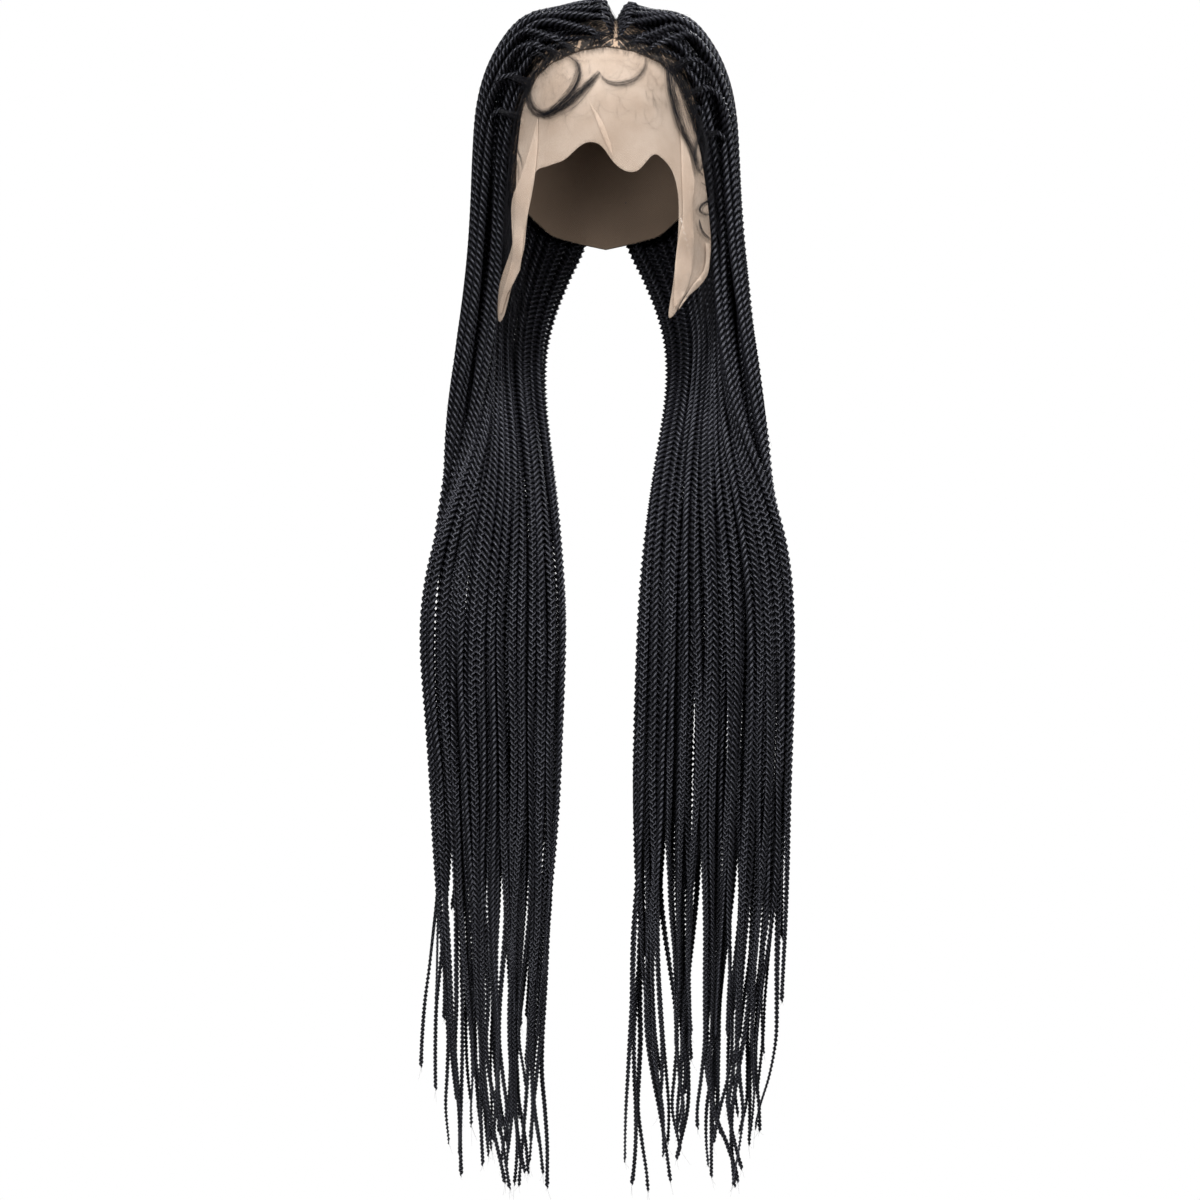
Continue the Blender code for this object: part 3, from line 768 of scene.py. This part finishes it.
def hair_material(settings):
    """Off-black fibre braid: fibres run along each strand, and painted shade darkens the grooves between
    strands.
    """
    values = {"Specular IOR Level": 0.66, "Specular Tint": (0.86, 0.88, 1.0, 1.0)}
    tree = ShaderTree("braided_hair", Roughness=0.42, **values)
    row, across = tree.attribute("row"), tree.attribute("round")
    left = (0.0 - across > 0.0) * 0.5
    strand = row * 0.5 + left
    offset = abs((strand + 0.5).fraction() - 0.5) * 2.0
    fibres = tree.noise(tree.combine(strand * 9.0, across * 1.3, 0.0), 1.0, detail=3.0, roughness=0.7)
    tone = tree.noise(tree.combine(strand.math("FLOOR") * 3.7, left * 9.0, 0.0), 1.0)
    # Painted shade: the grooves between strands are mixed to near black, and made rougher and partly
    # metallic so that they reflect less light.
    groove_shade = tree.ramp(offset, (0.24, 0.0), (0.78, 1.0))
    relief = 1.0 - offset * offset
    lit = tree.mix(tone, (*settings.dark, 1.0), (*settings.light, 1.0))
    lit = tree.mix(fibres * 0.5, lit, (*settings.light, 1.0))
    # Painted shade: the colour goes to near black in the grooves between strands.
    colour = tree.mix(groove_shade, lit, (0.002, 0.002, 0.002, 1.0))
    tree.feed("Base Color", colour)
    tree.feed("Roughness", 0.34 + fibres * 0.18 + groove_shade * 0.4)
    tree.feed("Metallic", groove_shade * 0.85)
    tree.bump((relief + fibres * 0.16) * tree.attribute("girth") ** 0.6, 1.0, 0.0024)
    return tree.material


def strand_material(settings):
    """Loose fibres of the same hair."""
    tree = ShaderTree("loose_hair", **{"Roughness": 0.55, "Specular IOR Level": 0.25})
    tone = tree.noise(tree.place(), 90.0)
    tree.feed("Base Color", tree.mix(tone, (*settings.dark, 1.0), (*settings.light, 1.0)))
    tree.feed("Roughness", 0.50 + tone * 0.15)
    return tree.material


def net_threads(along, down, size):
    """Threads of a square net of a cell size, laid on the bias, as a mask."""
    turn = math.pi / size
    one = abs(((along + down) * turn).sin())
    two = abs(((along - down) * turn).sin())
    return (1.0 - one.math("MINIMUM", two) * 2.2).clamp()


def lace_material(settings):
    """Sheer nude lace: a fine net, whiter where it is creased or doubled."""
    tree = ShaderTree("nude_lace", **{"Roughness": 0.7, "Specular IOR Level": 0.3})
    place = tree.place()
    x, _, z = tree.separate(place)
    threads = net_threads(x, z, settings.net)
    cloud = tree.noise(place, 38.0, detail=3.0)
    fine = tree.noise(place, 900.0)
    base = tree.mix(cloud, (*settings.lace_dark, 1.0), (*settings.lace_light, 1.0))
    colour = tree.mix(threads * 0.5, base, (*settings.lace_light, 1.0))
    tree.feed("Base Color", colour)
    tree.feed("Alpha", (settings.sheer + threads * 0.16 + cloud * 0.12).clamp())
    tree.bump(threads + fine * 0.4, 0.35, 0.0003)
    return tree.material


def cap_material(settings):
    """Tan cap net, dark with knots where hair is tied in, bare along the parting and between root boxes."""
    tree = ShaderTree("cap_net_tan", Roughness=0.8)
    place = tree.place()
    x, y, z = tree.separate(place)
    turn = x.math("ARCTAN2", y * -1.0) * (180.0 / math.pi)
    threads = net_threads(turn * 0.0014, z, settings.net * 1.3)
    knots = tree.noise(place, 420.0, detail=1.0)
    knotted = tree.ramp(knots, (0.30, 0.0), (0.42, 1.0))
    ragged = tree.noise(place, 160.0) - 0.5
    aside = abs(x - PARTING_ACROSS)
    open_front = ((y * -1.0 - 0.052) / 0.020).clamp() * 0.0009
    bare = ((0.0013 + open_front - aside + ragged * 0.0016) / 0.0008).clamp()
    rib = abs(((y * -1.0 - aside * 0.8 + ragged * 0.0020) / ROOT_SPACING).fraction() - 0.5)
    near = ((0.013 - aside) / 0.004).clamp()
    bare = bare.math("MAXIMUM", tree.ramp(rib, (0.06, 1.0), (0.13, 0.0)) * near)
    for gap in HAIRLINE_GAPS:
        line = ((1.3 - abs(turn + ragged * 3.0 - gap)) / 0.5).clamp()
        bare = bare.math("MAXIMUM", line)
    front = ((y * -1.0 - 0.028) / 0.01).clamp()
    inside = tree.attribute("inside")
    dark = knotted * (1.0 - bare * front) * (0.97 - inside * 0.97) + inside * 0.48
    base = tree.mix(threads, (*settings.cap_ground, 1.0), (*settings.cap_thread, 1.0))
    tree.feed("Base Color", tree.mix(dark, base, (0.012, 0.010, 0.009, 1.0)))
    tree.bump(threads + knots * 0.6, 0.5, 0.0005)
    return tree.material


def length(name, description, default):
    return FloatProperty(name=name, description=description, default=default, unit="LENGTH")


def factor(name, description, default):
    return FloatProperty(name=name, description=description, default=default, subtype="FACTOR")


def colour(name, description, *default):
    return FloatVectorProperty(name=name, description=description, default=default, subtype="COLOR")


class WigBraidSettings(bpy.types.PropertyGroup):
    width: length("Braid width", "Full width of a braid at the shoulder", 0.0062)
    stitch: length("Stitch", "Length of one stitch along the side of a braid", 0.0051)
    thickness: factor("Thickness", "Thickness of a braid as a share of its width", 0.80)
    ridge: factor("Ridge", "Rise of a strand above the braid's mean surface", 0.34)
    overlap: factor("Overlap", "How far a strand reaches over the middle line", 0.26)
    count: IntProperty(name="Braids a layer", description="Braids in one layer of one side", default=30)
    seed: IntProperty(name="Seed", description="Seed of the braids' places and ends", default=7)
    dark: colour("Hair shade", "Darker colour of the fibre", 0.0022, 0.0021, 0.0030)
    light: colour("Hair tint", "Lighter colour of the fibre", 0.0072, 0.0070, 0.0110)


class WigNetSettings(bpy.types.PropertyGroup):
    net: length("Net cell", "Size of a cell of the net", 0.0011)
    sheer: factor("Sheer", "Opacity of the lace between its threads", 0.25)
    lace_dark: colour("Lace shade", "Darker colour of the lace", 0.58, 0.41, 0.29)
    lace_light: colour("Lace tint", "Lighter colour of the lace", 0.80, 0.67, 0.56)
    cap_ground: colour("Cap ground", "Colour between the cap's threads", 0.36, 0.25, 0.17)
    cap_thread: colour("Cap thread", "Colour of the cap's threads", 0.54, 0.40, 0.29)


class WigStageSettings(bpy.types.PropertyGroup):
    distance: length("Camera distance", "From the wig's middle to the camera", 3.0)
    frame_height: length("Frame height", "Height that the picture takes in at the wig", 0.900)
    aim_height: length("Aim height", "Height of the camera and its aim", -0.441)
    aim_across: length("Aim across", "Place of the camera across", -0.0045)
    floor: length("Floor", "Height of the floor", -1.02)
    softbox: FloatProperty(name="Softbox", description="Power of the main lamp, in watts", default=74.0)
    ambient: factor("Ambient", "Light from the surround, as a share of its white", 0.06)


def tuft_lines(rng, root, points, wide, deep, hairs):
    """Hairs drawn together from the net round a root into the start of its braid."""
    aside = unit(np.array([-root[1], root[0], 0.0]))
    down = np.cross(aside, root)
    down *= -np.sign(down[2])
    lines = []
    for _ in range(hairs):
        spread = aside * rng.uniform(-wide, wide) + down * rng.uniform(-0.25 * deep, deep)
        start, normal = head_point(root + spread, CAP_WALL)
        join = points[int(rng.integers(3, 9))] + rng.normal(0.0, 0.0005, 3)
        lift = normal * rng.uniform(0.0004, 0.0016)
        end = points[int(rng.integers(11, 17))] + rng.normal(0.0, 0.0010, 3)
        lines.append(through(np.array([start, (start + join) / 2 + lift, join + lift * 0.6, end]), 2))
    return lines


def temple_lines(rng, side, hairs):
    """Straight loose hair that falls from the hairline at the temple between the lace and the braids."""
    lines = []
    for _ in range(hairs):
        back = rng.uniform(0.0, 1.0) ** 1.5
        azimuth = math.radians(38.0 + 92.0 * back)
        polar = edge_polar(azimuth) - math.radians(rng.uniform(0.3, 6.0))
        start, normal = head_point(direction(azimuth, polar), CAP_WALL)
        near = 0.069 if side < 0 else 0.078
        foot = np.array([rng.uniform(near, near + 0.013), rng.uniform(-0.050, -0.025) + 0.060 * back, 0.0])
        foot[0] -= 0.018 * max(0.0, back - 0.45) / 0.55
        foot[2] = min(start[2] - rng.uniform(0.05, 0.17), -0.11)
        knee = start * 0.62 + foot * 0.38 + normal * 0.003
        line = through(np.array([start, start * 0.86 + knee * 0.14 + normal * 0.002, knee, foot]), 4)
        line += np.column_stack([wander(rng, len(line), 4, 0.0011) for _ in range(3)])
        line[0] = start
        line[:, 0] *= side
        lines.append(line)
    return lines


def lock_lines(rng, lock):
    """Hairs of one lock of baby hair, each along a part of the lock's line."""
    path = through(np.array(lock.line).reshape(-1, 2) * MM, 3)
    along = unit(np.gradient(path, axis=0))
    across = np.column_stack([-along[:, 1], along[:, 0]])
    count = len(path)
    swell = 0.30 + 0.70 * np.sin(np.linspace(0.2, 2.95, count))
    lines = []
    for _ in range(lock.hairs):
        low = int(rng.integers(0, max(1, count // 5)))
        high = count - int(rng.integers(0, max(1, count // 4)))
        drift = rng.normal(0.0, 0.6) + wander(rng, count, 7, 0.35)
        line = path + across * (drift * swell * lock.spread * MM)[:, None]
        line = on_lace(line, (lock.lift + abs(rng.normal(0.0, 0.3))) * MM)
        line[:, 1] = np.minimum(line[:, 1], TEMPLE_FRONT)
        lines.append(line[low:high])
    return lines


def fine_lines(rng, hairs):
    """Fine single hairs that curl on the forehead's lace."""
    lines = []
    for _ in range(hairs):
        at = np.array([rng.uniform(-0.048, 0.058), rng.uniform(-0.078, -0.034)])
        heading = rng.normal(-math.pi / 2, 0.9)
        bend = rng.normal(0.0, 0.35)
        step = rng.uniform(0.0016, 0.0036)
        turns = heading + bend * np.arange(7)
        moves = np.column_stack([np.cos(turns), np.sin(turns)]) * step
        lines.append(on_lace(at + np.cumsum(moves, axis=0), 0.0010))
    return lines


def hairline_lines(rng, hairs):
    """Short hairs that break the hairline up over the top of the lace."""
    lines = []
    for _ in range(hairs):
        azimuth = math.radians(rng.uniform(-66.0, 66.0))
        start, _ = head_point(direction(azimuth, edge_polar(azimuth) - 0.012), CAP_WALL + 0.0003)
        middle = np.array([0.0, start[1], -0.120])
        toward = unit(middle - start)
        aside = np.array([rng.normal(0.0, 0.0012), 0.0, 0.0])
        reach = rng.uniform(0.0020, 0.0085)
        flat = np.array([start + toward * reach * k + aside * k * k for k in (0.0, 0.4, 0.7, 1.0)])
        line = on_lace(flat[:, [0, 2]], 0.0011)
        line[0] = start
        line[:, 1] = np.minimum(line[:, 1], start[1] + 0.0005)
        lines.append(line)
    return lines


def stray_lines(rng, points, normals, hairs):
    """Single fibres that stand off a braid."""
    lines = []
    for _ in range(hairs):
        first = int(rng.integers(8, len(points) - 30))
        part = points[first:first + 12:3]
        lift = np.linspace(0.6, rng.uniform(3.0, 6.0), len(part)) * MM
        aside = rng.normal(0.0, 0.0006, 3) * np.arange(len(part))[:, None]
        lines.append(part + normals[first:first + 12:3] * lift[:, None] + aside)
    return lines


def tip_lines(rng, points, hairs):
    """Loose fibres below the knot at a braid's tip."""
    tip, along = points[-1], unit(points[-1] - points[-4])
    steps = np.array([0.0, 0.4, 0.75, 1.0])[:, None]
    lines = []
    for _ in range(hairs):
        reach = rng.uniform(0.004, 0.011)
        aside = rng.normal(0.0, 0.28, 3)
        lines.append(tip + along * reach * steps + aside * reach * steps**2)
    return lines


def hair_piece(name, lines, radius, material):
    """One piece from many single hairs, which are thinner at both ends."""
    thick = [r * (0.35 + 0.65 * np.sin(np.linspace(0.5, 2.9, len(line)))) for r, line in zip(radius, lines)]
    piece = grown(line_guides(lines, thick=thick), strand_tree(), name, Sides=3, Material=material)
    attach(piece, "root")


def make_cap_mesh():
    """The cap as a fine dome with its wall, and an attribute that marks the inner face."""
    columns, rows = 88, 26
    azimuth = np.linspace(0, 2 * np.pi, columns, endpoint=False)
    down = np.linspace(0, 1, rows + 1)[1:]
    polar = edge_polar(azimuth)[None, :] * down[:, None]
    pointing = direction(azimuth, polar)
    outer, _ = head_point(pointing, CAP_WALL)
    inner, _ = head_point(pointing)
    mesh = bmesh.new()
    layer = mesh.verts.layers.float.new("inside")

    def lay(points, crown, mark):
        top = mesh.verts.new(crown)
        top[layer] = mark
        grid = [[mesh.verts.new(p) for p in line] for line in points]
        for line in grid:
            for vertex in line:
                vertex[layer] = mark
        return top, grid

    top, outside = lay(outer, (0.0, 0.0, CAP_WALL), 0.0)
    under, within = lay(inner, (0.0, 0.0, 0.0), 1.0)
    for k in range(columns):
        n = (k + 1) % columns
        mesh.faces.new((top, outside[0][k], outside[0][n]))
        mesh.faces.new((under, within[0][n], within[0][k]))
        for a in range(rows - 1):
            mesh.faces.new((outside[a][k], outside[a + 1][k], outside[a + 1][n], outside[a][n]))
            mesh.faces.new((within[a][n], within[a + 1][n], within[a + 1][k], within[a][k]))
        mesh.faces.new((outside[-1][k], within[-1][k], within[-1][n], outside[-1][n]))
    bmesh.ops.recalc_face_normals(mesh, faces=mesh.faces)
    data = bpy.data.meshes.new("cap_net")
    mesh.to_mesh(data)
    mesh.free()
    data.shade_smooth()
    data.set_sharp_from_angle(angle=math.radians(50))
    return data


def lace_depth(across, height):
    """Depth at which the lace lies: on the forehead down to the brow, then flaring off the cheeks."""
    across, height = np.asarray(across, float), np.asarray(height, float)
    covered = np.sin(polar_at(np.maximum(height, -HEAD_RISE))) ** (2.0 / HEAD_ROUNDNESS)
    ring = np.where(height > -HEAD_RISE, covered, 1.0)
    flare = TAB_FLARE * smooth(-TAB_FLARE_HEIGHTS[0], -TAB_FLARE_HEIGHTS[1], -height)
    half_width = HEAD_HALF_WIDTH * ring + CAP_WALL / 2 + flare
    half_depth = HEAD_HALF_DEPTH * ring + CAP_WALL / 2
    return -half_depth * np.sqrt(np.maximum(0.04, 1.0 - (across / half_width) ** 2))


def on_lace(points, lift):
    """Points across and up, in metres, laid a little in front of the lace."""
    points = np.asarray(points, float)
    step = 0.002
    depth = lace_depth(points[:, 0], points[:, 1])
    slope_x = (lace_depth(points[:, 0] + step, points[:, 1]) - depth) / step
    slope_z = (lace_depth(points[:, 0], points[:, 1] + step) - depth) / step
    normal = unit(np.column_stack([slope_x, -np.ones(len(points)), slope_z]))
    return np.column_stack([points[:, 0], depth, points[:, 1]]) + normal * lift


def lace_outline():
    """Outline of the lace seen from the front, anticlockwise from the right end of its seam."""
    turns = np.radians(np.linspace(LACE_TOP_AZIMUTH, -LACE_TOP_AZIMUTH, 49))
    seam, _ = head_point(direction(turns, edge_polar(turns)))
    seam = seam[:, [0, 2]]
    along = unit(np.gradient(seam, axis=0))
    seam = seam + np.column_stack([-along[:, 1], along[:, 0]]) * LACE_SEAM_GAP
    return np.vstack([seam, through(np.array(LACE_EDGE), 6)])


def lace_patch(outline, lift):
    """Points and triangles of one patch of lace inside an outline, lifted off the sheet's surface."""
    low, high = outline.min(axis=0), outline.max(axis=0)
    xs, zs = np.meshgrid(np.arange(low[0], high[0], LACE_STEP), np.arange(low[1], high[1], LACE_STEP))
    inner = np.column_stack([xs.ravel(), zs.ravel()])
    points = [Vector(p) for p in np.vstack([outline, inner])]
    verts, _, faces, _, _, _ = delaunay_2d_cdt(points, [], [list(range(len(outline)))], 1, 1e-6)
    used = sorted({k for face in faces for k in face})
    place = {old: new for new, old in enumerate(used)}
    flat = np.array([tuple(verts[k]) for k in used])
    hanging = smooth(0.125, 0.175, -flat[:, 1])
    ripple = 0.0008 * np.sin(flat[:, 1] * 190.0 + flat[:, 0] * 90.0) * hanging
    points = on_lace(flat, lift)
    points[:, 1] += ripple
    return points, [[place[k] for k in face] for face in faces]


def make_lace_mesh():
    """The lace front with its doubled places, as sheets without a wall."""
    patches = [lace_patch(lace_outline(), 0.0)]
    for fold in LACE_FOLDS:
        outline = through(np.array(fold.outline).reshape(-1, 2) * MM, 2)
        patches.append(lace_patch(outline, fold.lift * MM))
    points, faces = [], []
    for patch_points, patch_faces in patches:
        first = sum(len(p) for p in points)
        points.append(patch_points)
        faces += [[k + first for k in face] for face in patch_faces]
    data = bpy.data.meshes.new("lace_sheet")
    data.from_pydata(np.vstack(points).tolist(), [], faces)
    mesh = bmesh.new()
    mesh.from_mesh(data)
    bmesh.ops.reverse_faces(mesh, faces=[f for f in mesh.faces if f.normal.y > 0])
    mesh.to_mesh(data)
    mesh.free()
    data.shade_smooth()
    return data


def add_piece(name, data, *materials):
    piece = bpy.data.objects.new(name, data)
    for material in materials:
        data.materials.append(material)
    bpy.context.scene.collection.objects.link(piece)
    return piece


class WIG_OT_cap(bpy.types.Operator):
    """Make the cap of tan net"""

    bl_idname = "wig.cap"
    bl_label = "Cap"

    def execute(self, context):
        settings = context.scene.wig_net
        cap = add_piece("cap_net", make_cap_mesh(), cap_material(settings))
        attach(cap, "root")
        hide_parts("lace_cap")
        return {"FINISHED"}


class WIG_OT_lace(bpy.types.Operator):
    """Make the sheer lace front with its tabs"""

    bl_idname = "wig.lace"
    bl_label = "Lace front"

    def execute(self, context):
        settings = context.scene.wig_net
        lace = add_piece("lace_sheet", make_lace_mesh(), lace_material(settings))
        wall = lace.modifiers.new("Wall", "SOLIDIFY")
        wall.thickness = 0.0004
        wall.offset = 0.0
        settle(lace)
        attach(lace, "root")
        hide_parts("lace_front")
        return {"FINISHED"}


class WIG_OT_braids(bpy.types.Operator):
    """Make every braid of both layers, one piece for each field of the frame"""

    bl_idname = "wig.braids"
    bl_label = "Braids"

    def execute(self, context):
        settings = context.scene.wig_braids
        rng = np.random.default_rng(settings.seed)
        tufts, strays = [], []
        material, tree = hair_material(settings), braid_tree()
        for side, side_name in ((1, "right"), (-1, "left")):
            sheet = hanging_sheet(rng, side)
            for top, layer in ((True, "top"), (False, "under")):
                fields = self.lay_fields(rng, settings, sheet, side, top, tufts, strays)
                for lock, braids in fields.items():
                    self.make_field(f"braids_{layer}_{side_name}_{lock}", braids, tree, settings, material)
        loose = strand_material(settings)
        hair_piece("root_hair", tufts, rng.uniform(*ROOT_RADII, len(tufts)), loose)
        hair_piece("stray_hair", strays, rng.uniform(*STRAY_RADII, len(strays)), loose)
        return {"FINISHED"}

    def lay_fields(self, rng, settings, sheet, side, top, tufts, strays):
        """The braids of one layer of one side by field. Their root tufts and stray fibres join the lists."""
        fields = {lock: [] for lock in LOCKS}
        for index in range(settings.count):
            points, normals, root = lay_braid(rng, sheet, side, top, index, settings.count)
            end = end_height(rng, stray_of(side, top, index))
            keep = max(20, int(np.argmax(points[:, 2] < end)))
            rows = stitched(rng, points[:keep], normals[:keep], settings)
            lock = LOCKS[int(share_of(top, index, settings.count) * len(LOCKS))]
            fields[lock].append(rows)
            if index < FRONT_ROW:
                tuft = EDGE_TUFT if index > 1 else TEMPLE_TUFT
                tufts += tuft_lines(rng, root, points, *tuft)
            elif top:
                tufts += tuft_lines(rng, root, points, *PARTING_TUFT)
            strays += stray_lines(rng, points[:keep], normals[:keep], 2 if top else 1)
            strays += tip_lines(rng, points[:keep], 3)
        return fields

    def make_field(self, name, braids, tree, settings, material):
        rows = {key: [braid[key] for braid in braids] for key in braids[0]}
        piece = grown(
            line_guides(rows["centre"], **rows), tree, "stitched_" + name,
            Sides=8, Thickness=settings.thickness, Ridge=settings.ridge,
            Overlap=settings.overlap, Material=material,
        )
        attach(piece, "root")
        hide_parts(name)


class WIG_OT_loose(bpy.types.Operator):
    """Make the loose hair at the temples and the baby hair on the lace"""

    bl_idname = "wig.loose"
    bl_label = "Loose hair"

    def execute(self, context):
        settings = context.scene.wig_braids
        material = strand_material(settings)
        rng = np.random.default_rng(settings.seed + 1)
        for side, side_name in ((1, "right"), (-1, "left")):
            lines = temple_lines(rng, side, TEMPLE_HAIRS)
            radii = rng.uniform(*TEMPLE_RADII, len(lines))
            hair_piece(f"temple_hair_{side_name}", lines, radii, material)
        lines, radii = [], []
        for lock in BABY_LOCKS:
            hairs = lock_lines(rng, lock)
            lines += hairs
            radii += [lock.radius * MM] * len(hairs)
        lines += fine_lines(rng, FINE_HAIRS) + hairline_lines(rng, HAIRLINE_HAIRS)
        radii += [FINE_RADIUS] * FINE_HAIRS + [HAIRLINE_RADIUS] * HAIRLINE_HAIRS
        hair_piece("baby_hair", lines, radii, material)
        return {"FINISHED"}


class WIG_OT_stage(bpy.types.Operator):
    """Set the floor, the lamps, the white surround and the camera"""

    bl_idname = "wig.stage"
    bl_label = "Stage"

    def execute(self, context):
        settings = context.scene.wig_stage
        self.make_floor(settings)
        self.make_lamps(context, settings)
        self.make_camera(context, settings)
        return {"FINISHED"}

    def make_floor(self, settings):
        mesh = bmesh.new()
        bmesh.ops.create_circle(mesh, cap_ends=True, segments=96, radius=3.0)
        for vertex in mesh.verts:
            vertex.co.z = settings.floor
        data = bpy.data.meshes.new("floor")
        mesh.to_mesh(data)
        mesh.free()
        tree = ShaderTree("studio_floor", **{"Roughness": 0.9, "Base Color": (0.9, 0.9, 0.9, 1.0)})
        x, y, _ = tree.separate(tree.place())
        far = (x * x + y * y).math("SQRT")
        fade = tree.ramp(far / 3.0, (0.06, 0.0), (0.26, 1.0))
        clear = tree.add("ShaderNodeBsdfTransparent")
        shown = Socket(tree, tree.shader.outputs[0])
        mixed = tree.add("ShaderNodeMixShader", {}, {0: fade, 1: shown, 2: clear})
        output = tree.nodes.nodes["Material Output"]
        tree.nodes.links.new(mixed.output, output.inputs["Surface"])
        floor = add_piece("floor", data, tree.material)

    def make_lamps(self, context, settings):
        world = bpy.data.worlds.new("studio")
        world.use_nodes = True
        tree = Tree(world.node_tree)
        background = tree.nodes.nodes["Background"]
        background.inputs["Color"].default_value = (1.0, 1.0, 1.0, 1.0)
        seen = tree.add("ShaderNodeLightPath")
        strength = settings.ambient + seen * (1.0 - settings.ambient)
        tree.nodes.links.new(strength.output, background.inputs["Strength"])
        context.scene.world = world
        for row in LAMPS:
            light = bpy.data.lights.new(row.name, "AREA")
            light.shape = "RECTANGLE"
            light.size, light.size_y = row.size
            light.energy = settings.softbox * row.share
            lamp = bpy.data.objects.new(row.name, light)
            lamp.location = row.place
            aim = Vector(LAMP_AIM) - lamp.location
            lamp.rotation_euler = aim.to_track_quat("-Z", "Y").to_euler()
            context.scene.collection.objects.link(lamp)
        context.scene.view_settings.view_transform = "Standard"

    def make_camera(self, context, settings):
        data = bpy.data.cameras.new("camera")
        data.sensor_fit = "VERTICAL"
        data.sensor_height = 24.0
        data.lens = data.sensor_height * settings.distance / settings.frame_height
        data.clip_end = 50.0
        camera = bpy.data.objects.new("camera", data)
        camera.location = (settings.aim_across, -settings.distance - 0.06, settings.aim_height)
        camera.rotation_euler = (math.pi / 2, 0.0, 0.0)
        context.scene.collection.objects.link(camera)
        context.scene.camera = camera


class WIG_PT_panel(bpy.types.Panel):
    """Steps that make the wig, and their sizes and colours"""

    bl_idname = "WIG_PT_panel"
    bl_label = "Braid wig"
    bl_space_type = "VIEW_3D"
    bl_region_type = "UI"
    bl_category = "Wig"

    def draw(self, context):
        for step in STEPS:
            self.layout.operator(step.bl_idname)
        for group in ("wig_braids", "wig_net", "wig_stage"):
            settings = getattr(context.scene, group)
            for name in settings.bl_rna.properties.keys():
                if name not in ("rna_type", "name"):
                    self.layout.prop(settings, name)


GROUPS = {"wig_braids": WigBraidSettings, "wig_net": WigNetSettings, "wig_stage": WigStageSettings}
STEPS = (WIG_OT_stage, WIG_OT_cap, WIG_OT_lace, WIG_OT_braids, WIG_OT_loose)


def register():
    for name, group in GROUPS.items():
        bpy.utils.register_class(group)
        setattr(bpy.types.Scene, name, PointerProperty(type=group))
    for step in (*STEPS, WIG_PT_panel):
        bpy.utils.register_class(step)


def unregister():
    for step in (*STEPS, WIG_PT_panel):
        bpy.utils.unregister_class(step)
    for name, group in GROUPS.items():
        delattr(bpy.types.Scene, name)
        bpy.utils.unregister_class(group)


def main():
    register()
    for step in STEPS:
        group, name = step.bl_idname.split(".")
        getattr(getattr(bpy.ops, group), name)()


if __name__ == "__main__":
    main()
